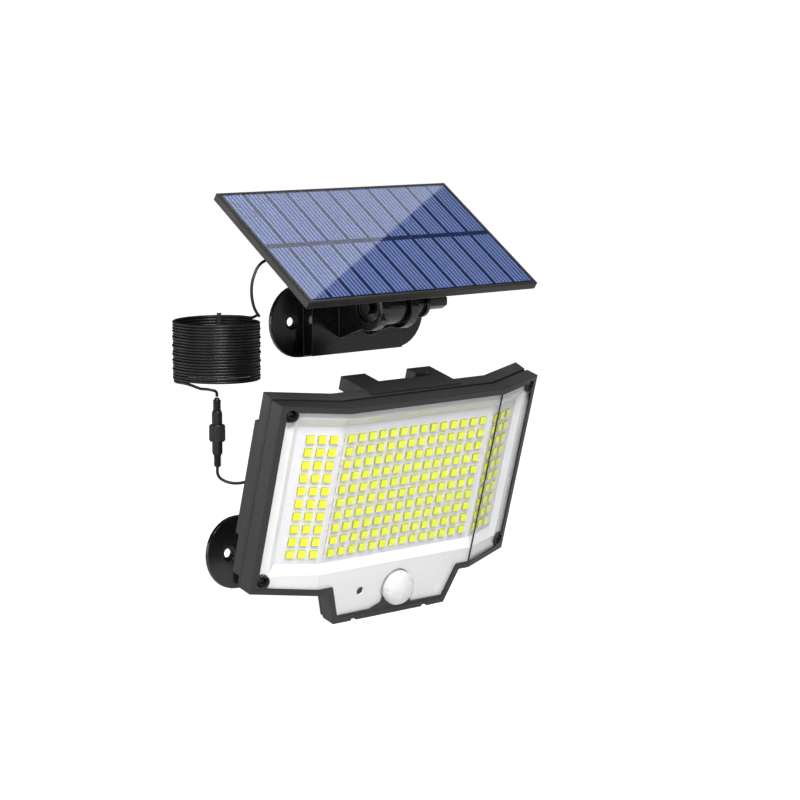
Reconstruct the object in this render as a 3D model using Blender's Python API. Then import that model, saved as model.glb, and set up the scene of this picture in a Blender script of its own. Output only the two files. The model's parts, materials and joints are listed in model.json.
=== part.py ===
"""Solar flood light with a separate panel: a folded LED lamp head and a solar panel,
each on its own wall bracket, joined by a coiled low-voltage cable with a screw-ring plug.

Frame: the wall is the plane Y = 0 with +Y into the wall, +Z is up, and the origin is the
centre of the back face of the lamp's wall plate. Sizes are in millimetres, and each
finished mesh is scaled to metres when it is placed.
"""
import math

import bmesh
import bpy
from mathutils import Matrix, Vector

MM = 0.001
GAP = 0.3                       # clearance between touching pieces

# Wall brackets
PLATE_HALF_STRAIGHT = 41.7      # stadium plate: straight half length
PLATE_R = 23.1                  # and end radius
PLATE_T = 3.0
BLOCK_HALF_W = 38.5             # raised block in the plate's middle
BLOCK_HALF_H = 22.0
BLOCK_FRONT = 11.5              # its front face, from the wall
HOLE_X = 48.1                   # wall screw holes, from the plate's middle
HOLE_R = 2.75
PIVOT_OUT = 38.0                # tilt axis, from the wall
PIVOT_UP = 9.6                  # and above the plate's middle
EAR_R = 15.0
EAR_IN, EAR_OUT = 9.0, 16.0     # clevis ears, along X from the middle
BOLT_R = 2.5
BOLT_HOLE_R = 2.8
EYE_R = 12.0
EYE_HALF_W = 8.3
ARM_REACH = 36.7                # tilt axis to the back face that the arm is screwed on
ARM_DROP = 17.0                 # arm base centre above the tilt axis, along that face
ARM_BASE = (25.0, 10.0, 3.4)    # arm base: half width, half height, thickness
ARM_SCREW = (19.0, 5.0)

LAMP_PLATE = Vector((0.0, 0.0, 0.0))
PANEL_PLATE = Vector((52.0, 0.0, 141.4))

# Solar panel, in its own axes: X, up-slope, and out of the glass
PANEL_TILT = math.radians(34.8)
PANEL_W, PANEL_L, PANEL_T = 191.0, 106.0, 5.0
PANEL_BORDER = 2.0
PANEL_X = -13.5                 # panel's middle, from its bracket's middle
JUNCTION_X = -40.0              # junction box, from the panel's middle
JUNCTION_U = -1.2
JUNCTION_SIZE = (36.0, 26.0, 9.7)

# Lamp, in its own axes: X, into the lamp, and up its face
LAMP_TILT = math.radians(15.3)
HALF_W = 103.3
TOP, BOTTOM, WING_BOTTOM = 60.0, -59.9, -58.3
TAB_TOP_HALF, TAB_BOTTOM_HALF, TAB_BOTTOM = 53.5, 45.3, -81.2
FOLD_X = 61.8                   # the two vertical folds
FOLD_SLOPE = math.tan(math.radians(18.1))
BEZEL_D = 9.7
FLANGE_BACK = 19.8              # back of the housing's rim
DEEP_BACK = 36.9                # back of the housing's deep box
ARM_FACE = 31.9                 # lower step of the back, where the arm is screwed on
WALL = 2.2
WINDOW = (92.5, 51.4, -47.0)    # reflector mouth: half width, top, bottom
BOARD_EDGE = (88.0, 46.0, -41.5)
CORNERS = ((-96.5, 54.0), (96.5, 54.0), (-96.5, -50.5), (96.5, -50.5))
DOME = (2.6, -64.0, 10.8)       # motion sensor dome: x, z, radius
SENSOR = (-25.8, -63.1, 2.6)
BUTTON = (64.0, -40.0, 4.6)
GLAND = (-62.0, 2.0)
FACE_IN = -(ARM_FACE + ARM_REACH)             # face centre from the tilt axis, along depth
FACE_UP = ARM_DROP + 42.7                     # and along the face

# Cable
CABLE_R = 0.9
COIL_CENTRE = Vector((-78.3, -31.0, 132.6))
COIL_R, COIL_H = 25.5, 38.0     # middle of the turns, and height of the stack of turns
TIE_ANGLE = math.radians(48)    # where the tie holds the coil
PLUG_AXIS = (-92.6, -49.0)      # the plug and socket hang on this vertical line
PLUG_TOP, NUT_TOP, NUT_BOTTOM, SOCKET_BOTTOM = 107.0, 90.9, 80.9, 65.3


# ---------------------------------------------------------------- small helpers

def clear_scene():
    for obj in list(bpy.data.objects):
        bpy.data.objects.remove(obj, do_unlink=True)


def material(name, colour, roughness, metallic=0.0):
    mat = bpy.data.materials.new(name)
    mat.use_nodes = True
    shader = mat.node_tree.nodes["Principled BSDF"]
    shader.inputs["Base Color"].default_value = (*colour, 1.0)
    shader.inputs["Roughness"].default_value = roughness
    shader.inputs["Metallic"].default_value = metallic
    mat.diffuse_color = (*colour, 1.0)
    return mat


def empty(name, location, tilt):
    """An axis that a head's pieces hang on; location in millimetres."""
    obj = bpy.data.objects.new(name, None)
    obj.location = Vector(location) * MM
    obj.rotation_euler = (tilt, 0.0, 0.0)
    bpy.context.scene.collection.objects.link(obj)
    return obj


def mesh_of(bm, name="shape"):
    bmesh.ops.recalc_face_normals(bm, faces=bm.faces)
    mesh = bpy.data.meshes.new(name)
    bm.to_mesh(mesh)
    bm.free()
    return mesh


def prism(points, axis, low, high):
    """A closed prism: points are (a, b) pairs on the two axes other than `axis`."""
    order = {"x": (0, 1, 2), "y": (1, 0, 2), "z": (2, 0, 1)}[axis]

    def vertex(level, a, b):
        co = [0.0, 0.0, 0.0]
        co[order[0]], co[order[1]], co[order[2]] = level, a, b
        return co

    bm = bmesh.new()
    near = [bm.verts.new(vertex(low, a, b)) for a, b in points]
    far = [bm.verts.new(vertex(high, a, b)) for a, b in points]
    bm.faces.new(near)
    bm.faces.new(far)
    for i in range(len(points)):
        j = (i + 1) % len(points)
        bm.faces.new((near[i], near[j], far[j], far[i]))
    return mesh_of(bm)


def box(low, high):
    return prism([(low[0], low[1]), (high[0], low[1]), (high[0], high[1]), (low[0], high[1])],
                 "z", low[2], high[2])


def circle(centre, radius, count, start=0.0, turn=2 * math.pi):
    """Points on a circle, or on an arc with both its ends."""
    steps = count if turn >= 2 * math.pi - 1e-6 else count - 1
    return [(centre[0] + radius * math.cos(start + turn * i / steps),
             centre[1] + radius * math.sin(start + turn * i / steps)) for i in range(count)]


def cylinder(centre, axis, low, high, radius, count=24):
    """centre is the pair of coordinates on the two axes other than `axis`."""
    return prism(circle(centre, radius, count), axis, low, high)


def frustum(near_rect, far_rect, y_near, y_far):
    """A solid between two rectangles (half width, top, bottom) across the Y axis."""
    bm = bmesh.new()
    rings = []
    for (half, top, bottom), y in ((near_rect, y_near), (far_rect, y_far)):
        corners = ((-half, bottom), (half, bottom), (half, top), (-half, top))
        rings.append([bm.verts.new((x, y, z)) for x, z in corners])
    bm.faces.new(rings[0])
    bm.faces.new(rings[1])
    for i in range(4):
        j = (i + 1) % 4
        bm.faces.new((rings[0][i], rings[0][j], rings[1][j], rings[1][i]))
    return mesh_of(bm)


def turned(profile, count=24):
    """A solid of revolution about Z from (radius, height) pairs; radius 0 closes on the axis."""
    bm = bmesh.new()
    rings = []
    for radius, height in profile:
        if radius == 0.0:
            rings.append([bm.verts.new((0.0, 0.0, height))])
        else:
            rings.append([bm.verts.new((a, b, height)) for a, b in circle((0, 0), radius, count)])
    closed = profile[0][0] != 0.0 and profile[-1][0] != 0.0
    pairs = list(zip(rings, rings[1:] + rings[:1])) if closed else list(zip(rings, rings[1:]))
    for lower, upper in pairs:
        for i in range(count):
            j = (i + 1) % count
            if len(lower) == 1:
                bm.faces.new((lower[0], upper[i], upper[j]))
            elif len(upper) == 1:
                bm.faces.new((lower[i], lower[j], upper[0]))
            else:
                bm.faces.new((lower[i], lower[j], upper[j], upper[i]))
    return mesh_of(bm)


def moved(mesh, offset=(0, 0, 0), turn=None):
    matrix = Matrix.Translation(Vector(offset))
    if turn is not None:
        matrix = matrix @ turn
    mesh.transform(matrix)
    return mesh


def inset(outline, distance):
    """The outline moved inwards; its points run anticlockwise as (x, z) pairs."""
    count = len(outline)
    lines = []
    for i in range(count):
        a, b = Vector(outline[i]), Vector(outline[(i + 1) % count])
        along = (b - a).normalized()
        inward = Vector((-along.y, along.x))
        lines.append((a + inward * distance, along))
    points = []
    for i in range(count):
        (p, u), (q, v) = lines[i - 1], lines[i]
        cross = u.x * v.y - u.y * v.x
        if abs(cross) < 1e-6:
            points.append(tuple(q))
            continue
        t = ((q.x - p.x) * v.y - (q.y - p.y) * v.x) / cross
        points.append(tuple(p + u * t))
    return points


def combined(base, *steps):
    """The base mesh after a chain of ('UNION' or 'DIFFERENCE', mesh) steps."""
    target = bpy.data.objects.new("work", base)
    bpy.context.scene.collection.objects.link(target)
    for operation, tool in steps:
        cutter = bpy.data.objects.new("tool", tool)
        bpy.context.scene.collection.objects.link(cutter)
        modifier = target.modifiers.new("cut", "BOOLEAN")
        modifier.operation = operation
        modifier.solver = "EXACT"
        modifier.object = cutter
        graph = bpy.context.evaluated_depsgraph_get()
        result = bpy.data.meshes.new_from_object(target.evaluated_get(graph))
        target.modifiers.clear()
        target.data = result
        bpy.data.objects.remove(cutter, do_unlink=True)
    mesh = target.data
    bpy.data.objects.remove(target, do_unlink=True)
    return mesh


def folded(mesh, deepest=FLANGE_BACK + 0.1):
    """Bend the two wings back: what lies nearer than `deepest` slides back past each fold."""
    bm = bmesh.new()
    bm.from_mesh(mesh)
    bmesh.ops.triangulate(bm, faces=bm.faces)
    for side in (-1, 1):
        bmesh.ops.bisect_plane(bm, geom=bm.verts[:] + bm.edges[:] + bm.faces[:], dist=1e-4,
                               plane_co=(side * FOLD_X, 0, 0), plane_no=(1, 0, 0))
    bmesh.ops.triangulate(bm, faces=bm.faces)
    for vertex in bm.verts:
        if vertex.co.y < deepest:
            vertex.co.y += FOLD_SLOPE * max(0.0, abs(vertex.co.x) - FOLD_X)
    return mesh_of(bm)


def place(name, mesh, mat, parent=None, offset=(0, 0, 0), smooth=30):
    """Make the named piece from a mesh in millimetres."""
    mesh.name = name
    mesh.transform(Matrix.Scale(MM, 4))
    mesh.materials.clear()
    mesh.materials.append(mat)
    mesh.shade_smooth()
    mesh.set_sharp_from_angle(angle=math.radians(smooth))
    obj = bpy.data.objects.new(name, mesh)
    obj.location = Vector(offset) * MM
    obj.parent = parent
    bpy.context.scene.collection.objects.link(obj)
    return obj


# ---------------------------------------------------------------- brackets, arms and knobs

def ear_outline():
    """The ear's side view as (y, z) pairs: a round head that widens to its foot."""
    head = circle((-PIVOT_OUT, PIVOT_UP), EAR_R, 15, math.radians(72), math.radians(216))
    foot = -BLOCK_FRONT + 0.5
    return [(foot, 21.5)] + head + [(foot, -12.0)]


def bracket_mesh():
    arc_right = circle((PLATE_HALF_STRAIGHT, 0), PLATE_R, 17, -math.pi / 2, math.pi)
    arc_left = circle((-PLATE_HALF_STRAIGHT, 0), PLATE_R, 17, math.pi / 2, math.pi)
    plate = prism(arc_right + arc_left, "y", 0.0, -PLATE_T)
    steps = [("UNION", box((-BLOCK_HALF_W, -BLOCK_FRONT, -BLOCK_HALF_H), (BLOCK_HALF_W, -1.0, BLOCK_HALF_H)))]
    for side in (-1, 1):
        low, high = sorted((side * EAR_IN, side * EAR_OUT))
        steps.append(("UNION", prism(ear_outline(), "x", low, high)))
        steps.append(("DIFFERENCE", cylinder((side * HOLE_X, 0), "y", -PLATE_T - 1, 1, HOLE_R)))
        steps.append(("DIFFERENCE", cylinder((side * HOLE_X, 0), "y", -PLATE_T - 1, -PLATE_T + 1.2, 4.6)))
        inner, outer = sorted((side * 4.0, side * (BLOCK_HALF_W - 2.5)))
        steps.append(("DIFFERENCE", box((inner, -BLOCK_FRONT + 2.5, -BLOCK_HALF_H + 2.5), (outer, 1, BLOCK_HALF_H - 2.5))))
    steps.append(("DIFFERENCE", cylinder((-PIVOT_OUT, PIVOT_UP), "x", -30, 30, BOLT_HOLE_R, 20)))
    steps.append(("DIFFERENCE", cylinder((-PIVOT_OUT, PIVOT_UP), "x", -30, -EAR_OUT + 2.0, 9.5, 28)))
    return combined(plate, *steps)


def bolt_mesh():
    head = prism(circle((0, 0), 4.6, 6), "x", -EAR_OUT - 1.3, -EAR_OUT + 1.7)
    return combined(head, ("UNION", cylinder((0, 0), "x", -EAR_OUT + 1, 38.0, BOLT_R, 20)))


def washer_mesh():
    ring = cylinder((0, 0), "x", EAR_OUT + GAP, EAR_OUT + 1.8, 8.5, 28)
    return combined(ring, ("DIFFERENCE", cylinder((0, 0), "x", 0, 30, BOLT_HOLE_R, 20)))


def knob_mesh():
    """A threaded neck with a flange, then a hexagonal grip bar with a chamfered end."""
    start = EAR_OUT + 2.1
    neck = cylinder((0, 0), "x", start, 28.0, 7.5, 28)
    flange = cylinder((0, 0), "x", 27.5, 30.5, 9.5, 28)
    grip = moved(turned([(0, 30.0), (5.1, 30.0), (5.1, 48.9), (4.2, 50.4), (0, 50.4)], 6),
                 turn=Matrix.Rotation(math.pi / 2, 4, "Y"))
    bore = cylinder((0, 0), "x", 0, 38.6, BOLT_HOLE_R, 20)
    return combined(neck, ("UNION", flange), ("UNION", grip), ("DIFFERENCE", bore))


def arm_mesh():
    """Eye on the tilt axis, a slanted strut, and a screwed base; (depth, height) from the axis.

    Depth runs from the axis towards the head, as -Y does for the lamp.
    """
    face = ARM_REACH - GAP
    eye = cylinder((0, 0), "x", -EYE_HALF_W, EYE_HALF_W, EYE_R, 36)
    strut = prism([(0.0, EYE_R - 0.5), (-face + 2.0, ARM_DROP + 9.0), (-face + 2.0, ARM_DROP - 9.0),
                   (-9.0, -7.5), (0.0, -EYE_R + 0.5)], "x", -EYE_HALF_W + 1.0, EYE_HALF_W - 1.0)
    half_w, half_h, thick = ARM_BASE
    base = box((-half_w, -face, ARM_DROP - half_h), (half_w, -face + thick, ARM_DROP + half_h))
    steps = [("UNION", strut), ("UNION", base),
             ("DIFFERENCE", cylinder((0, 0), "x", -30, 30, BOLT_HOLE_R, 20))]
    for x, z in arm_screw_places():
        steps.append(("DIFFERENCE", cylinder((x, z), "y", -face - 1, -face + thick + 1, 1.8, 12)))
    return combined(eye, *steps)


def arm_screw_places():
    return [(sx * ARM_SCREW[0], ARM_DROP + sz * ARM_SCREW[1]) for sx in (-1, 1) for sz in (-1, 1)]


def pan_screw_mesh(shank):
    """A screw along -Y: its head stands at y = -0.4 to 1.8 and its shank runs to -Y."""
    mesh = turned([(0, -1.8), (2.2, -1.8), (3.0, -0.6), (3.0, 0.4), (1.5, 0.4), (1.5, shank), (0, shank)], 12)
    return moved(mesh, turn=Matrix.Rotation(math.pi / 2, 4, "X"))


def bracket_set(prefix, plate, tilt_axis, mats):
    """Plate, bolt, washer and knob on the wall, and the arm on the head's tilt axis."""
    pivot = plate + Vector((0, -PIVOT_OUT, PIVOT_UP))
    place(prefix + "_wall_plate", bracket_mesh(), mats["black_gloss"], offset=plate)
    place(prefix + "_pivot_bolt", bolt_mesh(), mats["steel"], offset=pivot)
    place(prefix + "_pivot_washer", washer_mesh(), mats["steel"], offset=pivot)
    place(prefix + "_knob", knob_mesh(), mats["black_gloss"], offset=pivot)
    arm = arm_mesh()
    screw_y = -(ARM_REACH - GAP) + ARM_BASE[2] + 0.4 + GAP
    screw_turn = Matrix.Identity(4)
    if prefix == "panel":
        arm = moved(arm, turn=Matrix.Rotation(-math.pi / 2, 4, "X"))
        screw_turn = Matrix.Rotation(-math.pi / 2, 4, "X")
    place(prefix + "_arm", arm, mats["black_gloss"], tilt_axis)
    for i, (x, z) in enumerate(arm_screw_places(), 1):
        screw = moved(pan_screw_mesh(5.0), (x, screw_y, z))
        place(f"{prefix}_arm_screw_{i}", moved(screw, turn=screw_turn), mats["steel"], tilt_axis)


# ---------------------------------------------------------------- solar panel

def panel_pieces(axis, mats):
    """Pieces of the panel head; (x, up-slope, out) with the glass face at out = top."""
    top = ARM_REACH + PANEL_T
    mid = Vector((PANEL_X, ARM_DROP - 0.8, 0.0))
    half_w, half_l = PANEL_W / 2, PANEL_L / 2

    def slab(shrink, low, high):
        return box((mid.x - half_w + shrink, mid.y - half_l + shrink, top + low),
                   (mid.x + half_w - shrink, mid.y + half_l - shrink, top + high))

    steps = [("DIFFERENCE", slab(PANEL_BORDER, -2.6, 1.0))]
    for x, z in arm_screw_places():
        steps.append(("DIFFERENCE", cylinder((x, z), "z", top - PANEL_T - 1, top - 3.2, 1.8, 12)))
    jx, ju = mid.x + JUNCTION_X, mid.y + JUNCTION_U
    steps.append(("DIFFERENCE", cylinder((jx, ju), "z", top - PANEL_T - 1, top, 3.0, 16)))
    place("panel_frame", combined(slab(0.0, -PANEL_T, 0.0), *steps), mats["black_satin"], axis)
    place("solar_laminate", slab(PANEL_BORDER + GAP, -2.3, -1.3), mats["cells"], axis)
    place("panel_glass", slab(PANEL_BORDER + GAP, -1.0, -0.1), mats["clear"], axis)

    sx, sy, sz = JUNCTION_SIZE
    back = top - PANEL_T - GAP
    shell = box((jx - sx / 2, ju - sy / 2, back - sz), (jx + sx / 2, ju + sy / 2, back))
    hollow = box((jx - sx / 2 + 1.8, ju - sy / 2 + 1.8, back - sz - 1), (jx + sx / 2 - 1.8, ju + sy / 2 - 1.8, back - 1.8))
    wire_hole = cylinder((jx, ju), "z", back - 4, back + 1, 3.0, 16)
    place("junction_box", combined(shell, ("DIFFERENCE", hollow), ("DIFFERENCE", wire_hole)),
          mats["black_satin"], axis)
    lid_top = back - sz - GAP
    lid = box((jx - sx / 2, ju - sy / 2, lid_top - 1.8), (jx + sx / 2, ju + sy / 2, lid_top))
    lip = box((jx - sx / 2 + 2.3, ju - sy / 2 + 2.3, lid_top - 0.5), (jx + sx / 2 - 2.3, ju + sy / 2 - 2.3, lid_top + 1.5))
    place("junction_lid", combined(lid, ("UNION", lip)), mats["black_satin"], axis)

    gland = moved(gland_mesh(), (jx - sx / 2 - GAP, ju, back - sz / 2), Matrix.Rotation(-math.pi / 2, 4, "Y"))
    place("panel_gland", gland, mats["rubber"], axis)


def gland_mesh():
    """A stepped strain relief that tapers to the cable, along +Z."""
    profile = [(0, 0), (4.2, 0), (4.2, 1.6), (3.2, 2.0)]
    for i in range(3):
        base = 2.0 + 2.6 * i
        radius = 2.9 - 0.45 * i
        profile += [(radius, base + 0.3), (radius, base + 1.5), (radius - 0.6, base + 1.7), (radius - 0.6, base + 2.4)]
    profile += [(1.6, 10.4), (0, 10.4)]
    return turned(profile, 12)


# ---------------------------------------------------------------- lamp

def lamp_outline():
    """The lamp's front outline with its sensor tab, anticlockwise as (x, z) pairs."""
    right = [(TAB_BOTTOM_HALF, TAB_BOTTOM), (TAB_TOP_HALF, BOTTOM), (FOLD_X, BOTTOM),
             (HALF_W, WING_BOTTOM), (HALF_W, TOP)]
    return right + [(-x, z) for x, z in reversed(right)]


def outline_prism(distance, low, high):
    return prism(inset(lamp_outline(), distance), "y", low, high)


def corner_cylinders(radius, low, high, count=20):
    return [cylinder(corner, "y", low, high, radius, count) for corner in CORNERS]


def corner_gussets(low, high):
    """Blocks that tie each corner's screw post to the rim."""
    blocks = []
    for x, z in CORNERS:
        edge_x = math.copysign(HALF_W - 1.0, x)
        edge_z = TOP - 1.0 if z > 0 else WING_BOTTOM + 1.5
        (x0, x1), (z0, z1) = sorted((x, edge_x)), sorted((z, edge_z))
        blocks.append(box((x0, low, z0), (x1, high, z1)))
    return blocks


def bezel_mesh():
    steps = [("DIFFERENCE", outline_prism(2.0, 1.2, BEZEL_D + 1)),
             ("DIFFERENCE", outline_prism(4.0, -1, 2))]
    steps += [("UNION", post) for post in corner_cylinders(4.2, 0.0, BEZEL_D)]
    steps += [("UNION", block) for block in corner_gussets(0.0, BEZEL_D)]
    steps += [("DIFFERENCE", hole) for hole in corner_cylinders(1.8, -1, BEZEL_D + 1, 12)]
    steps += [("DIFFERENCE", hole) for hole in corner_cylinders(3.4, -1, 4.4, 20)]
    for x in (-29.0, 29.0):
        steps.append(("DIFFERENCE", box((x - 2, -1, TAB_BOTTOM - 1), (x + 2, 5.5, TAB_BOTTOM + 1.2))))
    return folded(combined(outline_prism(0.0, 0.0, BEZEL_D), *steps))


def corner_clearance(low, high):
    """What a sheet behind the bezel leaves out for the corner posts and gussets."""
    cuts = [("DIFFERENCE", post) for post in corner_cylinders(4.6, low, high)]
    for x, z in CORNERS:
        far_x = math.copysign(HALF_W + 2, x)
        far_z = TOP + 2 if z > 0 else WING_BOTTOM - 3
        near_x, near_z = x - math.copysign(GAP + 0.1, x), z - math.copysign(GAP + 0.1, z)
        (x0, x1), (z0, z1) = sorted((near_x, far_x)), sorted((near_z, far_z))
        cuts.append(("DIFFERENCE", box((x0, low, z0), (x1, high, z1))))
    return cuts


def lens_mesh():
    dome_hole = cylinder(DOME[:2], "y", -5, 10, DOME[2] + 0.5, 40)
    return folded(combined(outline_prism(2.4, 1.5, 2.5), ("DIFFERENCE", dome_hole), *corner_clearance(-5, 10)))


def grown(rect, amount):
    return (rect[0] + amount, rect[1] + amount, rect[2] - amount)


def reflector_mesh():
    """White tray: a flat rim, sloped walls down to the LED boards, and the sensor tab's face."""
    walls = frustum(grown(WINDOW, 1.2), grown(BOARD_EDGE, 1.2), 2.9, 6.2)
    mouth = frustum(grown(WINDOW, 0.16), grown(BOARD_EDGE, -0.16), 2.8, 6.3)
    return folded(combined(
        outline_prism(2.5, 2.9, 3.9), ("UNION", walls), ("DIFFERENCE", mouth),
        ("DIFFERENCE", cylinder(DOME[:2], "y", -5, 10, DOME[2] + 0.5, 40)),
        ("DIFFERENCE", cylinder(SENSOR[:2], "y", -5, 10, SENSOR[2], 16)), *corner_clearance(-5, 10)))


def board_mesh(x_low, x_high):
    return folded(box((x_low, 6.5, BOARD_EDGE[2] - 2.5), (x_high, 7.7, BOARD_EDGE[1] + 2.5)))


def seal_mesh():
    ring = combined(outline_prism(0.8, 10.0, 11.0), ("DIFFERENCE", outline_prism(2.6, 9, 12)))
    return folded(ring)


def dock_steps():
    """Two prongs behind the housing's top edge, the right one hooked by a round slot."""
    low, high = 53.0, 61.5
    steps = [("UNION", box((-36, 13, low), (36, 29, high)))]
    for x0, x1 in ((-36, -17), (17, 36)):
        steps.append(("UNION", box((x0, 28, low), (x1, 42, high))))
    slot = circle((24.0, 31.0), 2.6, 9, -math.pi / 2, math.pi) + [(4.0, 33.6), (4.0, 28.4)]
    steps.append(("DIFFERENCE", prism(slot, "z", low - 1, high + 1)))
    return steps


def housing_mesh():
    """Rear shell: rim, deep box, arm face, sensor pocket and dock, with one open cavity."""
    front = 11.3
    rim = prism([(front, -52.0), (FLANGE_BACK, -52.0), (FLANGE_BACK, 61.5), (front, 60.2)], "x", -102.3, 102.3)
    deep = prism([(front, 43.5), (DEEP_BACK, 42.5), (DEEP_BACK, -28.5), (ARM_FACE, -29.8),
                  (ARM_FACE, -49.5), (FLANGE_BACK - 1, -51.5)], "x", -101.5, 101.5)
    pocket = combined(
        prism([(-50.0, -49.0), (-45.5, -70.0), (45.5, -70.0), (50.0, -49.0)], "y", front, 27.5),
        ("DIFFERENCE", prism([(28.5, -66.0), (28.5, -80.0), (13.0, -80.0), (13.0, -70.3)],
                             "x", -60.0, 60.0)))
    steps = [("UNION", rim), ("UNION", deep), ("UNION", pocket)]
    steps += dock_steps()
    inner_rim = prism([(-100.0, -49.8), (100.0, -49.8), (100.0, 56.8), (-100.0, 56.8)], "y", front - 1, 15.8)
    inner_deep = prism([(front - 1, 41.3), (DEEP_BACK - WALL, 40.3), (DEEP_BACK - WALL, -26.9),
                        (ARM_FACE - WALL, -28.2), (ARM_FACE - WALL, -47.5), (front - 1, -48.5)],
                       "x", -99.3, 99.3)
    inner_pocket = prism([(-47.5, -49.0), (-43.5, -67.8), (43.5, -67.8), (47.5, -49.0)], "y", front - 1, 18.8)
    steps += [("DIFFERENCE", inner_rim), ("DIFFERENCE", inner_deep), ("DIFFERENCE", inner_pocket)]
    steps += [("UNION", post) for post in corner_cylinders(3.9, front, FLANGE_BACK - 1.0, 16)]
    steps += [("DIFFERENCE", hole) for hole in corner_cylinders(1.8, front - 1, FLANGE_BACK - 1.6, 12)]
    for x, z in arm_screw_places():
        hole = cylinder((x, z - FACE_UP), "y", ARM_FACE - 4, ARM_FACE + 1, 1.8, 12)
        steps.append(("DIFFERENCE", hole))
    steps.append(("DIFFERENCE", cylinder(GLAND, "y", DEEP_BACK - 4, DEEP_BACK + 1, 2.4, 16)))
    steps.append(("DIFFERENCE", cylinder(BUTTON[:2], "y", ARM_FACE - 4, ARM_FACE + 1, BUTTON[2] + 0.4, 24)))
    return folded(combined(outline_prism(0.8, front, front + 1.7), *steps))


def dome_mesh():
    """Motion sensor lens: a flanged hollow dome that bulges towards -Y."""
    radius, wall, flange = DOME[2], 1.0, 13.0
    rise, base = 12.4, -4.2
    outer = [(radius * math.cos(t), 1.5 + (rise - 1.5 - 4.0) * math.sin(t))
             for t in (math.radians(a) for a in (0, 22, 44, 66))]
    inner = [((radius - wall) * math.cos(t), 1.5 + (rise - 1.5 - 4.0 - wall) * math.sin(t))
             for t in (math.radians(a) for a in (66, 44, 22, 0))]
    profile = [(flange, base - 1.0), (flange, base), (radius, base)] + outer
    profile += [(1.2, rise - 4.0 + 0.05), (0, rise - 4.0 + 0.1)]
    shell_outer = turned([(0, base - 1.0)] + profile, 24)
    shell_inner = turned([(0, base - 2.0), (radius - wall, base - 2.0)] + inner[::-1]
                         + [(0, rise - 4.0 - wall)], 24)
    mesh = combined(shell_outer, ("DIFFERENCE", shell_inner))
    return moved(mesh, (DOME[0], 0, DOME[1]), Matrix.Rotation(math.pi / 2, 4, "X"))


def battery_mesh(z):
    body = turned([(0, 0), (8.9, 0), (9.2, 0.4), (9.2, 64.0), (8.9, 64.4), (3.2, 64.4), (3.2, 65.6), (0, 65.6)], 28)
    return moved(body, (-10.0, 23.6, z), Matrix.Rotation(math.pi / 2, 4, "Y"))


def lamp_pieces(axis, mats):
    face = (0.0, FACE_IN, FACE_UP)

    def put(name, mesh, mat):
        place(name, mesh, mats[mat], axis, face)

    put("front_bezel", bezel_mesh(), "black_satin")
    put("lens_cover", lens_mesh(), "clear")
    put("reflector", reflector_mesh(), "white")
    put("led_board_left", board_mesh(-91.5, -FOLD_X - 0.6), "board")
    put("led_board_center", board_mesh(-FOLD_X + 0.6, FOLD_X - 0.6), "board")
    put("led_board_right", board_mesh(FOLD_X + 0.6, 91.5), "board")
    put("bezel_seal", seal_mesh(), "rubber")
    put("rear_housing", housing_mesh(), "black_satin")
    put("sensor_dome", dome_mesh(), "milky")

    for i, (x, z) in enumerate(CORNERS, 1):
        depth = FOLD_SLOPE * (abs(x) - FOLD_X)
        screw = moved(pan_screw_mesh(11.5), turn=Matrix.Rotation(math.pi, 4, "X"))
        put(f"bezel_screw_{i}", moved(screw, (x, 2.7 + depth, z)), "steel")

    put("motion_sensor", cylinder((DOME[0], -62.0), "y", 6.5, 12.2, 4.6, 24), "steel")
    light = moved(turned([(0, 0), (2.3, 0), (2.3, 6.0), (1.6, 7.2), (0, 7.6)], 16),
                  (SENSOR[0], 12.2, SENSOR[1]), Matrix.Rotation(math.pi / 2, 4, "X"))
    put("light_sensor", light, "rubber")
    put("sensor_board", box((-32.0, 12.5, -66.8), (16.0, 14.0, -52.5)), "circuit")

    put("battery_1", battery_mesh(17.5), "cell_wrap")
    put("battery_2", battery_mesh(-3.5), "cell_wrap")
    grooves = [("DIFFERENCE", cylinder((23.6, z), "x", -11.0, 57.0, 9.5, 28)) for z in (17.5, -3.5)]
    put("battery_holder", combined(box((-14.0, 22.0, -16.0), (60.0, 34.4, 30.0)), *grooves), "black_satin")

    board = box((-88.0, 20.0, -6.0), (-22.0, 21.6, 32.0))
    chips = [((-80, 16.5, 4), (-68, 20.5, 16)), ((-60, 18.4, 2), (-50, 20.5, 12)),
             ((-44, 15.0, -2), (-30, 20.5, 8)), ((-84, 17.5, 22), (-60, 20.5, 28))]
    put("control_board", combined(board, *[("UNION", box(a, b)) for a, b in chips]), "circuit")

    gland = moved(gland_mesh(), (GLAND[0], DEEP_BACK + GAP, GLAND[1]), Matrix.Rotation(-math.pi / 2, 4, "X"))
    put("lamp_gland", gland, "rubber")
    x, z, radius = BUTTON
    button = turned([(0, -5.0), (radius, -5.0), (radius, 2.4), (radius - 0.8, 3.2), (0, 3.4)], 24)
    put("power_button", moved(button, (x, ARM_FACE, z), Matrix.Rotation(-math.pi / 2, 4, "X")), "rubber")
    ring = turned([(radius + 0.5, 0), (8.5, 0), (8.5, 0.9), (radius + 1.6, 1.6), (radius + 0.5, 1.6)], 28)
    put("button_bezel", moved(ring, (x, ARM_FACE + GAP, z), Matrix.Rotation(-math.pi / 2, 4, "X")), "black_gloss")


# ---------------------------------------------------------------- cable

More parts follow.
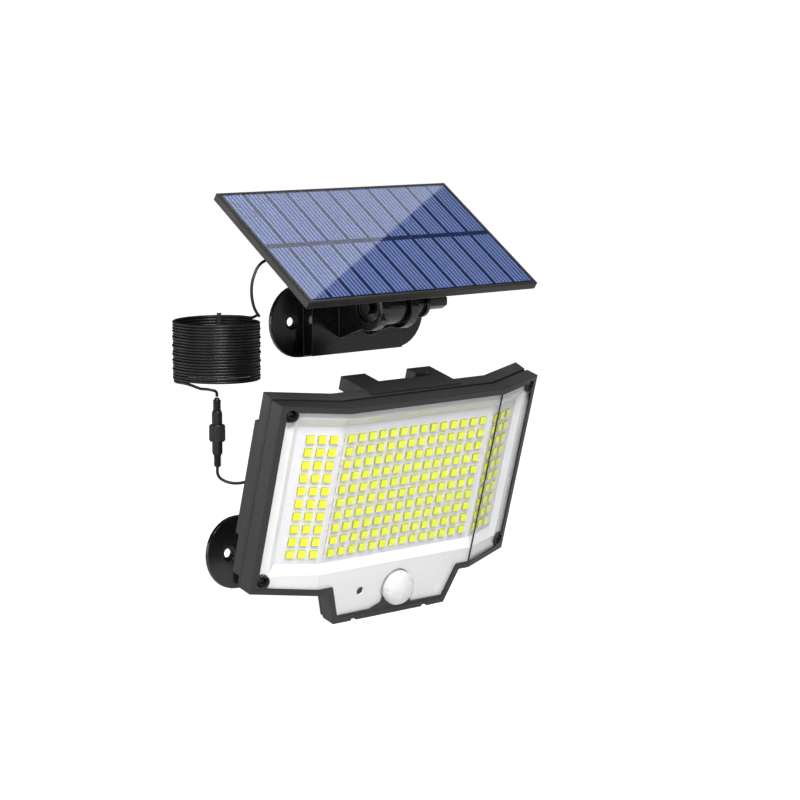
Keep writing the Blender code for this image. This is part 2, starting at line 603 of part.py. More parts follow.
def smooth_route(points, spacing):
    """Points on a centripetal Catmull-Rom curve through the route, evenly spaced."""
    points = [Vector(p) for p in points]
    ends = [points[0] * 2 - points[1]] + points + [points[-1] * 2 - points[-2]]
    dense = []
    for i in range(1, len(ends) - 2):
        p0, p1, p2, p3 = ends[i - 1:i + 3]
        t0 = 0.0
        t1 = t0 + math.sqrt((p1 - p0).length)
        t2 = t1 + math.sqrt((p2 - p1).length)
        t3 = t2 + math.sqrt((p3 - p2).length)
        for k in range(24):
            t = t1 + (t2 - t1) * k / 24
            a1 = p0 * ((t1 - t) / (t1 - t0)) + p1 * ((t - t0) / (t1 - t0))
            a2 = p1 * ((t2 - t) / (t2 - t1)) + p2 * ((t - t1) / (t2 - t1))
            a3 = p2 * ((t3 - t) / (t3 - t2)) + p3 * ((t - t2) / (t3 - t2))
            b1 = a1 * ((t2 - t) / (t2 - t0)) + a2 * ((t - t0) / (t2 - t0))
            b2 = a2 * ((t3 - t) / (t3 - t1)) + a3 * ((t - t1) / (t3 - t1))
            dense.append(b1 * ((t2 - t) / (t2 - t1)) + b2 * ((t - t1) / (t2 - t1)))
    dense.append(points[-1])
    total = sum((b - a).length for a, b in zip(dense, dense[1:]))
    count = max(4, round(total / spacing))
    route, walked, step = [dense[0]], 0.0, total / count
    for a, b in zip(dense, dense[1:]):
        length = (b - a).length
        while walked + length >= step * len(route) - 1e-9 and len(route) < count:
            share = (step * len(route) - walked) / length
            route.append(a.lerp(b, share))
        walked += length
    return route + [dense[-1]]


def tube(name, points, mat, spacing=5.0):
    curve = bpy.data.curves.new(name, "CURVE")
    curve.dimensions = "3D"
    curve.bevel_depth = CABLE_R * MM
    curve.bevel_resolution = 2
    curve.use_fill_caps = True
    route = smooth_route(points, spacing)
    spline = curve.splines.new("POLY")
    spline.points.add(len(route) - 1)
    for point, co in zip(spline.points, route):
        point.co = (*(co * MM), 1.0)
    curve.materials.append(mat)
    obj = bpy.data.objects.new(name, curve)
    bpy.context.scene.collection.objects.link(obj)
    return obj


# The lead's route, panel gland to coil; coil to plug; and socket to lamp gland
UPPER_ROUTE = [(-30.6, -43.7, 185.5), (-37.0, -43.7, 185.7), (-44.0, -43.8, 186.0), (-51.4, -44.0, 185.4),
               (-56.4, -44.2, 182.4), (-59.8, -44.7, 177.8), (-62.4, -45.5, 172.3), (-63.5, -46.5, 165.8),
               (-62.8, -47.7, 158.8), (-61.4, -48.6, 155.3), (-59.6, -48.2, 153.4), (-57.3, -45.6, 152.95),
               (-55.2, -41.8, 152.9)]
LOWER_ROUTE = [(-100.2, -44.0, 112.4), (-98.9, -46.4, 112.4), (-97.0, -48.9, 112.0), (-94.6, -50.1, 111.2),
               (-92.9, -49.4, 109.7), (-92.6, -49.0, 107.7)]
LAMP_ROUTE = [(-92.6, -49.0, 65.0), (-92.8, -49.0, 62.2), (-92.0, -49.9, 59.2), (-89.6, -52.1, 57.0),
              (-86.4, -55.2, 55.8), (-81.8, -58.2, 55.8), (-76.2, -60.4, 57.4), (-70.4, -62.2, 60.2),
              (-65.4, -64.8, 63.2), (-62.4, -69.4, 64.8), (-62.0, -74.1, 63.75)]


def coil_tie_mesh():
    """A thin band round the stack of turns."""
    half_r, half_h = CABLE_R + 1.4, COIL_H / 2 + 1.3
    band = box((COIL_R - half_r, -1.6, -half_h), (COIL_R + half_r, 1.6, half_h))
    inner = box((COIL_R - half_r + 0.8, -3, -half_h + 0.8), (COIL_R + half_r - 0.8, 3, half_h - 0.8))
    return moved(combined(band, ("DIFFERENCE", inner)), turn=Matrix.Rotation(TIE_ANGLE, 4, "Z"))


def on_plug_line(profile, count):
    """A turned piece on the plug's line, from (radius, world height) pairs."""
    return moved(turned(profile, count), (*PLUG_AXIS, 0.0))


def relief_rings(start, step, radius, shrink):
    """Three moulded rings of a strain relief, from its thick end at `start`."""
    rings = []
    for i in range(3):
        height, outer = start + step * (2.0 * i), radius - shrink * i
        rings += [(outer, height + step * 0.2), (outer, height + step * 1.2),
                  (outer - 0.5, height + step * 1.4), (outer - 0.5, height + step * 2.0)]
    return rings


def cable_pieces(mats):
    tube("panel_lead_upper", UPPER_ROUTE, mats["cable"])
    outer, inner = COIL_R + CABLE_R, COIL_R - CABLE_R
    ring = turned([(inner, -COIL_H / 2), (outer, -COIL_H / 2), (outer, COIL_H / 2), (inner, COIL_H / 2)], 48)
    place("cable_coil", ring, mats["cable"], offset=COIL_CENTRE)
    place("coil_tie", coil_tie_mesh(), mats["rubber"], offset=COIL_CENTRE)
    tube("panel_lead_lower", LOWER_ROUTE, mats["cable"], 2.6)

    nose = (NUT_TOP + NUT_BOTTOM) / 2
    plug = [(0, nose + 0.3), (3.0, nose + 0.3), (3.0, 98.4), (2.4, 99.6)]
    plug += relief_rings(99.6, 1.15, 2.4, 0.25) + [(1.3, PLUG_TOP), (0, PLUG_TOP)]
    place("cable_plug", on_plug_line(plug, 20), mats["rubber"])
    nut = [(3.4, NUT_BOTTOM), (4.6, NUT_BOTTOM), (4.9, NUT_BOTTOM + 0.4), (4.9, NUT_TOP - 0.4),
           (4.6, NUT_TOP), (3.4, NUT_TOP)]
    place("coupling_nut", on_plug_line(nut, 24), mats["black_satin"])
    socket = [(0, nose - 0.3), (3.0, nose - 0.3), (3.0, 73.6), (2.3, 72.4)]
    socket += relief_rings(72.4, -1.1, 2.3, 0.25) + [(1.3, SOCKET_BOTTOM), (0, SOCKET_BOTTOM)]
    place("cable_socket", on_plug_line(socket, 20), mats["rubber"])
    tube("lamp_lead", LAMP_ROUTE, mats["cable"], 3.6)


def main():
    clear_scene()
    mats = {
        "black_gloss": material("black_gloss", (0.012, 0.012, 0.013), 0.28),
        "black_satin": material("black_satin", (0.045, 0.046, 0.048), 0.5),
        "white": material("white", (0.86, 0.86, 0.86), 0.35),
        "board": material("board", (0.82, 0.82, 0.9), 0.45),
        "clear": material("clear", (0.9, 0.93, 0.95), 0.05),
        "milky": material("milky", (0.88, 0.89, 0.9), 0.3),
        "cells": material("cells", (0.03, 0.07, 0.3), 0.3),
        "steel": material("steel", (0.6, 0.61, 0.62), 0.3, 1.0),
        "rubber": material("rubber", (0.02, 0.02, 0.02), 0.7),
        "cable": material("cable", (0.01, 0.01, 0.01), 0.4),
        "circuit": material("circuit", (0.02, 0.16, 0.06), 0.5),
        "cell_wrap": material("cell_wrap", (0.05, 0.2, 0.55), 0.35),
    }
    drop = Vector((0, -PIVOT_OUT, PIVOT_UP))
    lamp_axis = empty("lamp_tilt_axis", LAMP_PLATE + drop, LAMP_TILT)
    panel_axis = empty("panel_tilt_axis", PANEL_PLATE + drop, PANEL_TILT)
    bracket_set("lamp", LAMP_PLATE, lamp_axis, mats)
    bracket_set("panel", PANEL_PLATE, panel_axis, mats)
    panel_pieces(panel_axis, mats)
    lamp_pieces(lamp_axis, mats)
    cable_pieces(mats)


main()
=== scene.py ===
"""Looks of the solar flood light: a folded LED lamp and a solar panel on wall brackets.

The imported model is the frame. Every piece here is made in that frame, in metres, round the
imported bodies: the wall is the plane Y = 0, -Y faces the viewer and +Z is up.
"""

import json
import logging
import math
from dataclasses import dataclass
from enum import Enum
from typing import Callable, Optional, Sequence

import bmesh
import bpy
from mathutils import Matrix, Vector

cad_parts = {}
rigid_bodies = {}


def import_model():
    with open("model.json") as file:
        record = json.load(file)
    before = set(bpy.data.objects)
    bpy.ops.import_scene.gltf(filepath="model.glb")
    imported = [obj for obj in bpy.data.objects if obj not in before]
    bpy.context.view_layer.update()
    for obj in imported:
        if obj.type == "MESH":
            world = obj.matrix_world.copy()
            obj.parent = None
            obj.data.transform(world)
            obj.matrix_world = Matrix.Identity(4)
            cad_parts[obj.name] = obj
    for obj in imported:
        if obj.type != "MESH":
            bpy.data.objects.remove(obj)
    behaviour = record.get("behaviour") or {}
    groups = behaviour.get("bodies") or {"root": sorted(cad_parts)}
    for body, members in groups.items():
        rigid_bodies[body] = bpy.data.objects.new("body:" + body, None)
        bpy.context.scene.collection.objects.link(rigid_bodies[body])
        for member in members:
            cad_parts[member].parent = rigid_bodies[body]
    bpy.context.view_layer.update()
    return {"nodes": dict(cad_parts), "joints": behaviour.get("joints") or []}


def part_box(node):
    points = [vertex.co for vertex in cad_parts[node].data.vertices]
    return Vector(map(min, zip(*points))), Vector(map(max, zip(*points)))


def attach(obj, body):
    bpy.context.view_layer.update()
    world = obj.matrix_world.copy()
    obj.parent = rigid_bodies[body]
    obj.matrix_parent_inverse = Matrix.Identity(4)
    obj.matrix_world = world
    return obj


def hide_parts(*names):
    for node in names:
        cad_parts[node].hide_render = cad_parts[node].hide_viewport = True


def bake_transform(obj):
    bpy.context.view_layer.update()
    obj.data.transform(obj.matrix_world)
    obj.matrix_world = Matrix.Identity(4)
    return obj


for leftover in list(bpy.data.objects):
    bpy.data.objects.remove(leftover, do_unlink=True)
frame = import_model()

logging.basicConfig(level=logging.INFO, format="%(message)s")
LOG = logging.getLogger("solar_flood_light")

Colour = tuple[float, float, float]
Point = tuple[float, float, float]
Pair = tuple[float, float]
Material = bpy.types.Material
Mesh = bpy.types.Mesh
Piece = bpy.types.Object
Socket = bpy.types.NodeSocket

MM = 0.001
WHITE = (1.0, 1.0, 1.0, 1.0)


def turn(degrees: float, axis: str) -> Matrix:
    """Return a turn about an axis."""
    return Matrix.Rotation(math.radians(degrees), 4, axis)


def shift(x: float, y: float, z: float) -> Matrix:
    """Return a move."""
    return Matrix.Translation((x, y, z))


def placed(name: str, data: bpy.types.ID) -> Piece:
    """Return a new object that holds the data, linked into the scene."""
    obj = bpy.data.objects.new(name, data)
    bpy.context.scene.collection.objects.link(obj)
    return obj


# ------------------------------------------------------------------ places in the frame

@dataclass(frozen=True)
class TiltedFace:
    """Axes of a head that is tilted about a wall bracket's joint, in millimetres.

    Attributes:
        joint: Name of the joint that the head tilts on.
        tilt: Angle of the head about +X at rest, in degrees.
        origin: The face's origin from the joint, along the tilted axes.
    """

    joint: str
    tilt: float
    origin: Point

    def matrix(self) -> Matrix:
        """Return the matrix that takes the face's millimetres to the frame's metres."""
        stand_on = next(j for j in frame["joints"] if j["name"] == self.joint)["pos_m"]
        return (shift(*stand_on) @ turn(self.tilt, "X") @ Matrix.Scale(MM, 4)
                @ shift(*self.origin))

    def point(self, x: float, y: float, z: float) -> Vector:
        """Return a point of the face in the frame's metres."""
        return self.matrix() @ Vector((x, y, z))


# x to the right, y into the lamp, z up its face; the origin is the middle of the front
LAMP_FACE = TiltedFace("lamp_tilt", 15.3, (0.0, -68.6, 59.7))
# x to the right, y up the slope, z out of the glass; the origin is the middle of the panel
PANEL_FACE = TiltedFace("panel_tilt", 34.8, (-13.5, 16.2, 41.7))
FOLD_X = 61.8                                   # from the lamp's middle to each of its folds
FOLD_DEGREES = 18.1
FOLD_SLOPE = math.tan(math.radians(FOLD_DEGREES))


# ------------------------------------------------------------------ node trees

class Bench:
    """Fills a node tree."""

    prefix = ""

    def __init__(self, tree: bpy.types.NodeTree) -> None:
        """Work on that tree."""
        self.tree = tree

    def feed(self, node: bpy.types.Node, socket: object, value: object) -> None:
        """Link a node's input where the value is a socket, and set it otherwise."""
        if isinstance(value, Socket):
            self.tree.links.new(value, node.inputs[socket])
        else:
            node.inputs[socket].default_value = value

    def node(self, kind: str, inputs: Optional[dict] = None, out: object = 0,
             **settings: object) -> Socket:
        """Add a node.

        Args:
            kind: The node's type, with or without the tree's usual prefix.
            inputs: Names or numbers of inputs, with their values or the sockets that feed them.
            out: Name or number of the output that is returned.
            **settings: The node's own attributes.

        Returns:
            One output of the new node.
        """
        made = self.tree.nodes.new(kind if "Node" in kind else self.prefix + kind)
        for name, value in settings.items():
            setattr(made, name, value)
        for socket, value in (inputs or {}).items():
            self.feed(made, socket, value)
        return made.outputs[out]


class MaterialBench(Bench):
    """Fills one material's node tree."""

    prefix = "ShaderNode"

    def __init__(self, name: str) -> None:
        """Start a material of that name with a Principled shader."""
        self.material = bpy.data.materials.new(name)
        self.material.use_nodes = True
        super().__init__(self.material.node_tree)
        self.shader = self.tree.nodes["Principled BSDF"]
        self.place = self.node("TexCoord", out="Object")

    def set(self, **values: object) -> None:
        """Set or link the shader's inputs, with `_` for a space."""
        for name, value in values.items():
            self.feed(self.shader, name.replace("_", " "), value)

    def noise(self, scale: float, detail: float = 3.0, stretch: Optional[Point] = None) -> Socket:
        """Add noise on object coordinates.

        Args:
            scale: Features in a metre.
            detail: Octaves.
            stretch: Scale along each axis, or None for an even grain.

        Returns:
            The noise's factor socket.
        """
        where = self.place
        if stretch is not None:
            where = self.node("Mapping", {"Vector": where, "Scale": stretch})
        return self.node("TexNoise", {"Vector": where, "Scale": scale, "Detail": detail}, "Fac")

    def spread(self, source: Socket, low: float, high: float) -> Socket:
        """Map a factor's middle range to low and high, and return the result's socket."""
        return self.node("MapRange", {"Value": source, "From Min": 0.3, "From Max": 0.7,
                                      "To Min": low, "To Max": high})

    def tint(self, source: Socket, low: Colour, high: Colour, stops: Pair = (0.3, 0.7)) -> Socket:
        """Blend two colours by a factor, and return the colour socket."""
        ramp = self.node("ValToRGB", {"Fac": source})
        for element, stop, colour in zip(ramp.node.color_ramp.elements, stops, (low, high)):
            element.position = stop
            element.color = (*colour, 1.0)
        return ramp

    def emboss(self, height: Socket, depth: float, strength: float = 1.0) -> None:
        """Bump the shader's normal by a height socket, depth millimetres deep."""
        self.set(Normal=self.node("Bump", {"Height": height, "Distance": depth * MM,
                                           "Strength": strength}))


class GeometryBench(Bench):
    """Fills one geometry node tree that makes pieces in rows or rings."""

    prefix = "GeometryNode"

    def __init__(self, name: str) -> None:
        """Start a tree of that name with a geometry input and output."""
        super().__init__(bpy.data.node_groups.new(name, "GeometryNodeTree"))
        for way in ("INPUT", "OUTPUT"):
            self.tree.interface.new_socket("Geometry", in_out=way,
                                           socket_type="NodeSocketGeometry")
        self.entry = self.tree.nodes.new("NodeGroupInput")
        self.exit = self.tree.nodes.new("NodeGroupOutput")

    def sizes(self, *names: str, kind: str = "Float") -> list[Socket]:
        """Add named inputs to the tree, and return their sockets in it."""
        for name in names:
            made = self.tree.interface.new_socket(name, in_out="INPUT",
                                                  socket_type="NodeSocket" + kind)
            made.default_value = 2 if kind == "Int" else 1.0
        return [self.entry.outputs[name] for name in names]

    def vector(self, *parts: object) -> Socket:
        """Combine up to three numbers or sockets into a vector socket."""
        return self.node("ShaderNodeCombineXYZ", dict(enumerate(parts)))

    def maths(self, operation: str, a: object, b: object) -> Socket:
        """Join two numbers or sockets by an operation, and return the result's socket."""
        return self.node("ShaderNodeMath", {0: a, 1: b}, operation=operation)

    def span(self, pitch: Socket, count: Socket) -> Socket:
        """Return the distance from the first to the last of a row."""
        return self.maths("MULTIPLY", pitch, self.maths("SUBTRACT", count, 1))

    def block(self, x: object, y: object, z: object) -> Socket:
        """Return a block's geometry from its three sizes."""
        return self.node("MeshCube", {"Size": self.vector(x, y, z)})

    def grid(self, size_x: Socket, size_y: Socket, columns: Socket, rows: Socket) -> Socket:
        """Return a flat grid of points."""
        return self.node("MeshGrid", {"Size X": size_x, "Size Y": size_y,
                                      "Vertices X": columns, "Vertices Y": rows})

    def moved(self, geometry: Socket, offset: object) -> Socket:
        """Return a geometry that is moved by a vector."""
        return self.node("Transform", {"Geometry": geometry, "Translation": offset})

    def copies(self, points: Socket, instance: Socket) -> Socket:
        """Put a copy of a geometry on each point."""
        return self.node("InstanceOnPoints", {"Points": points, "Instance": instance})

    def painted(self, geometry: Socket, material: Material) -> Socket:
        """Set the material of a geometry, and return its socket."""
        return self.node("SetMaterial", {"Geometry": geometry, "Material": material})

    def together(self, *parts: Socket) -> Socket:
        """Join several geometries into one, and return its socket."""
        result = self.node("JoinGeometry")
        for part in parts:
            self.feed(result.node, 0, part)
        return result

    def close(self, geometry: Socket) -> bpy.types.NodeTree:
        """Realize the instances, lead them to the output, and return the tree."""
        self.feed(self.exit, "Geometry", self.node("RealizeInstances", {"Geometry": geometry}))
        return self.tree


# ------------------------------------------------------------------ finishes

def scaled(colour: Colour, factor: float) -> Colour:
    """Return a colour made lighter or darker by a factor."""
    return tuple(min(1.0, part * factor) for part in colour)


@dataclass(frozen=True)
class Finish:
    """A named finish; each kind says in `fill` how its shader is fed."""

    name: str

    def fill(self, bench: MaterialBench) -> None:
        """Feed the bench's shader."""
        raise NotImplementedError

    def make(self) -> Material:
        """Return the finish as a material."""
        bench = MaterialBench(self.name)
        self.fill(bench)
        return bench.material


@dataclass(frozen=True)
class MouldedPlastic(Finish):
    """An injection-moulded plastic: a fine grain over slow changes of gloss and shade."""

    colour: Colour
    roughness: float
    grain: float = 0.45             # millimetres
    relief: float = 0.012           # millimetres
    cloud: float = 1.3              # how much lighter the paler patches are
    coat: float = 0.0
    shine: float = 0.5              # specular level

    def fill(self, bench: MaterialBench) -> None:
        """Feed the bench's shader."""
        bench.set(Base_Color=bench.tint(bench.noise(22.0, 4.0), self.colour,
                                        scaled(self.colour, self.cloud)),
                  Roughness=bench.spread(bench.noise(60.0, 5.0), self.roughness - 0.05,
                                         self.roughness + 0.07),
                  Coat_Weight=self.coat, Coat_Roughness=0.12, Specular_IOR_Level=self.shine)
        bench.emboss(bench.noise(1.0 / (self.grain * MM), 2.0), self.relief)


@dataclass(frozen=True)
class ClearSheet(Finish):
    """A clear glass or polycarbonate sheet with faint ripples."""

    colour: Colour
    index: float
    shine: float

    def fill(self, bench: MaterialBench) -> None:
        """Feed the bench's shader."""
        bench.set(Base_Color=(*self.colour, 1.0), IOR=self.index, Transmission_Weight=1.0,
                  Specular_IOR_Level=self.shine,
                  Roughness=bench.spread(bench.noise(30.0, 2.0), 0.015, 0.035))
        bench.emboss(bench.noise(14.0, 1.0), 0.004, 0.6)


@dataclass(frozen=True)
class SiliconCell(Finish):
    """A dark blue silicon cell with crystal flakes and a fine drawn streak up the slope."""

    dark: Colour
    light: Colour

    def fill(self, bench: MaterialBench) -> None:
        """Feed the bench's shader."""
        flakes = bench.node("TexVoronoi", {"Vector": bench.place, "Scale": 260.0}, "Color")
        streaks = bench.noise(420.0, 3.0, (1.0, 0.06, 0.06))
        both = bench.node("Math", {0: flakes, 1: 0.25, 2: streaks}, operation="MULTIPLY_ADD")
        bench.set(Base_Color=bench.tint(both, self.dark, self.light, (0.35, 0.85)),
                  Roughness=bench.spread(streaks, 0.28, 0.4), Specular_IOR_Level=0.05)


@dataclass(frozen=True)
class PrintedLine(Finish):
    """Silver paste printed on a cell."""

    colour: Colour

    def fill(self, bench: MaterialBench) -> None:
        """Feed the bench's shader."""
        bench.set(Base_Color=bench.tint(bench.noise(700.0), self.colour,
                                        scaled(self.colour, 1.25)),
                  Roughness=bench.spread(bench.noise(900.0), 0.35, 0.5), Specular_IOR_Level=0.1)


@dataclass(frozen=True)
class Phosphor(Finish):
    """The yellow phosphor face of an LED, which looks lit from within."""

    colour: Colour
    edge: Colour
    glow: float

    def fill(self, bench: MaterialBench) -> None:
        """Feed the bench's shader."""
        bench.set(Base_Color=bench.tint(bench.noise(900.0, 2.0), self.edge, self.colour,
                                        (0.25, 0.45)),
                  Roughness=bench.spread(bench.noise(500.0), 0.3, 0.42),
                  Emission_Color=(*self.colour, 1.0), Emission_Strength=self.glow)


@dataclass(frozen=True)
class CircuitBoard(Finish):
    """A board's solder mask, with soft tracks showing through it."""

    colour: Colour
    track: Colour
    pitch: float                    # millimetres between tracks

    def fill(self, bench: MaterialBench) -> None:
        """Feed the bench's shader."""
        upright = bench.node("Mapping", {"Vector": bench.place,
                                         "Rotation": (math.radians(90.0), 0.0, 0.0)})
        mask = (*self.colour, 1.0)
        tracks = bench.node("TexBrick", {
            "Vector": upright, "Scale": 1.0 / (self.pitch * MM), "Color1": mask, "Color2": mask,
            "Mortar": (*self.track, 1.0), "Mortar Size": 0.08, "Mortar Smooth": 0.6}, "Color")
        bench.set(Base_Color=tracks, Roughness=bench.spread(bench.noise(80.0), 0.4, 0.52))
        bench.emboss(tracks.node.outputs["Fac"], 0.01, 0.5)


@dataclass(frozen=True)
class FacetedMilk(Finish):
    """A milky polyethylene lens that lets some light through."""

    colour: Colour

    def fill(self, bench: MaterialBench) -> None:
        """Feed the bench's shader."""
        bench.set(Base_Color=bench.tint(bench.noise(120.0, 2.0), scaled(self.colour, 0.94),
                                        self.colour),
                  Roughness=bench.spread(bench.noise(200.0), 0.2, 0.3),
                  Subsurface_Weight=0.25, Subsurface_Scale=0.002)
        bench.emboss(bench.noise(1500.0, 1.0), 0.006)


@dataclass(frozen=True)
class PlatedSteel(Finish):
    """Plated steel with fine turning marks."""

    colour: Colour
    roughness: float = 0.3

    def fill(self, bench: MaterialBench) -> None:
        """Feed the bench's shader."""
        bench.set(Base_Color=bench.tint(bench.noise(500.0), self.colour,
                                        scaled(self.colour, 1.2)),
                  Roughness=bench.spread(bench.noise(300.0), self.roughness - 0.06,
                                         self.roughness + 0.1), Metallic=1.0)
        bench.emboss(bench.noise(1800.0, 2.0, (0.2, 1.0, 1.0)), 0.01)


@dataclass(frozen=True)
class CableSkin(Finish):
    """Smooth extruded cable jacket, with a fine grain and a little dust."""

    colour: Colour
    roughness: float

    def fill(self, bench: MaterialBench) -> None:
        """Feed the bench's shader."""
        dust = tuple(part * 1.8 + 0.004 for part in self.colour)
        bench.set(Base_Color=bench.tint(bench.noise(90.0, 4.0), self.colour, dust, (0.45, 0.8)),
                  Roughness=bench.spread(bench.noise(150.0), self.roughness,
                                         self.roughness + 0.1))
        bench.emboss(bench.noise(1600.0, 2.0), 0.008)


class Finishes:
    """Every finish of the flood light, made once."""

    def __init__(self) -> None:
        """Make the materials."""
        self.bracket = MouldedPlastic("glossy_bracket_plastic", (0.006, 0.006, 0.0063), 0.2,
                                      0.8, 0.006, 1.4, 0.4).make()
        self.shell = MouldedPlastic("satin_housing_plastic", (0.021, 0.021, 0.022), 0.38,
                                    0.5, 0.014, 1.2).make()
        self.tray = MouldedPlastic("panel_tray_plastic", (0.023, 0.0215, 0.0175), 0.36,
                                   0.6, 0.01, 1.25).make()
        self.white = MouldedPlastic("white_reflector_plastic", (0.84, 0.84, 0.85), 0.22,
                                    1.2, 0.003, 1.04, 0.3).make()
        self.rubber = MouldedPlastic("matt_rubber", (0.008, 0.008, 0.0085), 0.5,
                                     0.3, 0.02, 1.3).make()
        self.wrap = MouldedPlastic("blue_shrink_wrap", (0.03, 0.12, 0.42), 0.25,
                                   1.5, 0.006, 1.2, 0.3).make()
        self.backing = MouldedPlastic("navy_backing_sheet", (0.0022, 0.0065, 0.034), 0.35,
                                      2.0, 0.003, 1.5, 0.0, 0.02).make()
        # the LED case's dark olive is a shaded copy of the phosphor's yellow: painted shade on the
        # LEDs' sides
        self.led_case = MouldedPlastic("led_case", (0.36, 0.39, 0.05), 0.4, 0.5, 0.004, 1.2).make()
        self.cover = ClearSheet("clear_lamp_cover", (1.0, 1.0, 1.0), 1.45, 0.25).make()
        self.glass = ClearSheet("clear_panel_glass", (0.97, 0.98, 1.0), 1.5, 0.4).make()
        self.cell = SiliconCell("blue_silicon", (0.016, 0.029, 0.088),
                                (0.031, 0.053, 0.14)).make()
        self.line = PrintedLine("printed_cell_line", (0.098, 0.138, 0.29)).make()
        self.phosphor = Phosphor("yellow_phosphor", (0.88, 0.96, 0.003), (0.82, 0.91, 0.004),
                                 0.1).make()
        self.board = CircuitBoard("white_solder_mask", (0.84, 0.83, 0.9), (0.825, 0.815, 0.89),
                                  8.3).make()
        self.green = CircuitBoard("green_solder_mask", (0.015, 0.14, 0.05), (0.02, 0.2, 0.08),
                                  2.5).make()
        self.milk = FacetedMilk("milky_sensor_lens", (0.87, 0.875, 0.88)).make()
        self.steel = PlatedSteel("zinc_plated_steel", (0.56, 0.57, 0.58)).make()
        self.dark_steel = PlatedSteel("blackened_steel", (0.05, 0.05, 0.053), 0.38).make()
        self.jacket = CableSkin("black_cable_jacket", (0.006, 0.006, 0.0065), 0.3).make()


# ------------------------------------------------------------------ making pieces

class Edges(Enum):
    """How broadly a moulded edge is rounded, in millimetres."""

    CRISP = 0.15
    SOFT = 0.25
    FULL = 0.45


def stand(name: str, mesh: Mesh, body: str, material: Optional[Material] = None,
          smooth: Optional[float] = 32.0, replaces: Sequence[str] = ()) -> Piece:
    """Make a piece of the object from a finished mesh in the frame's metres.

    Args:
        name: The piece's name.
        mesh: Its mesh.
        body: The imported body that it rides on.
        material: Its material, or None where the mesh has its materials already.
        smooth: Edges sharper than this many degrees stay sharp; None keeps its own normals.
        replaces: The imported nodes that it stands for.

    Returns:
        The piece.
    """
    mesh.name = name
    if material is not None:
        painted(mesh, material)
    if smooth is not None:
        mesh.shade_smooth()
        mesh.set_sharp_from_angle(angle=math.radians(smooth))
    obj = placed(name, mesh)
    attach(obj, body)
    if replaces:
        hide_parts(*replaces)
    LOG.info("%s: %d faces on %s", name, len(mesh.polygons), body)
    return obj


def dress(finish: Material, *nodes: str) -> None:
    """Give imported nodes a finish."""
    for name in nodes:
        painted(frame["nodes"][name].data, finish)
    LOG.info("%s on %s", finish.name, ", ".join(nodes))


def clear_sheet(node: str, finish: Material) -> None:
    """Give a packed clear sheet its finish, and let the light pass it unshaded."""
    dress(finish, node)
    frame["nodes"][node].visible_shadow = False


def softened(node: str, edges: Edges, name: str, body: str, finish: Material,
             least: float = 34.0) -> Piece:
    """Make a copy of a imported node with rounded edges, which stands for it.

    Args:
        node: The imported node.
        edges: How broad the rounding is.
        name: The new piece's name.
        body: The body that it rides on.
        finish: Its material.
        least: Edges sharper than this many degrees are rounded.

    Returns:
        The new piece.
    """
    bm = bmesh.new()
    bm.from_mesh(frame["nodes"][node].data)
    bmesh.ops.remove_doubles(bm, verts=bm.verts, dist=0.002 * MM)
    mesh = bpy.data.meshes.new(node + "_copy")
    bm.to_mesh(mesh)
    bm.free()
    mesh.shade_smooth()
    mesh.set_sharp_from_angle(angle=math.radians(least))
    work = placed("work", mesh)
    bevel = work.modifiers.new("round", "BEVEL")
    bevel.width = edges.value * MM
    bevel.segments = 2
    bevel.limit_method = "ANGLE"
    bevel.angle_limit = math.radians(least)
    bevel.use_clamp_overlap = False
    bevel.loop_slide = False
    bevel.miter_outer = "MITER_SHARP"
    level = work.modifiers.new("level", "WEIGHTED_NORMAL")
    level.mode = "FACE_AREA"
    level.weight = 60
    level.keep_sharp = True
    return stand(name, realised(work), body, finish, None, [node])


def realised(obj: Piece) -> Mesh:
    """Return the evaluated object's plain mesh, in the frame, and remove the object."""
    graph = bpy.context.evaluated_depsgraph_get()
    mesh = bpy.data.meshes.new_from_object(obj.evaluated_get(graph),
                                           preserve_all_data_layers=True, depsgraph=graph)
    mesh.transform(obj.matrix_world)
    obj.modifiers.clear()
    bpy.data.objects.remove(obj, do_unlink=True)
    return mesh


def grown(tree: bpy.types.NodeTree, seed: Optional[Mesh] = None, **sizes: object) -> Mesh:
    """Run a geometry tree and return its plain mesh.

    Args:
        tree: The geometry node tree.
        seed: The mesh that it starts from, or None for an empty one.
        **sizes: Values for the tree's named inputs, with `_` for a space.

    Returns:
        The mesh that the tree makes.
    """
    obj = placed("seed", seed or bpy.data.meshes.new("seed"))
    modifier = obj.modifiers.new("rows", "NODES")
    modifier.node_group = tree
    for item in tree.interface.items_tree:
        name = item.name.replace(" ", "_")
        if item.item_type == "SOCKET" and item.in_out == "INPUT" and name in sizes:
            modifier[item.identifier] = sizes[name]
    return realised(obj)


def lofted(rings: Sequence[Sequence[Point]], matrix: Optional[Matrix] = None,
           looped: bool = False, capped: bool = False) -> Mesh:
    """Join rings of points into a closed mesh whose faces point outwards.

    Args:
        rings: Rings with the same number of points each; one may shrink to a single spot.
        matrix: Moves the finished mesh, or None.
        looped: Whether the last ring joins the first.
        capped: Whether the first and the last ring are filled.

    Returns:
        The mesh.
    """
    bm = bmesh.new()
    rows = [[bm.verts.new(point) for point in ring] for ring in rings]
    for lower, upper in zip(rows, rows[1:] + rows[:1] if looped else rows[1:]):
        for i in range(len(lower)):
            j = (i + 1) % len(lower)
            bm.faces.new((lower[i], lower[j], upper[j], upper[i]))
    if capped:
        bm.faces.new(rows[0])
        bm.faces.new(rows[-1])
    bmesh.ops.remove_doubles(bm, verts=bm.verts, dist=1e-7)
    bmesh.ops.recalc_face_normals(bm, faces=bm.faces)
    mesh = bpy.data.meshes.new("made")
    bm.to_mesh(mesh)
    bm.free()
    if matrix is not None:
        mesh.transform(matrix)
    return mesh


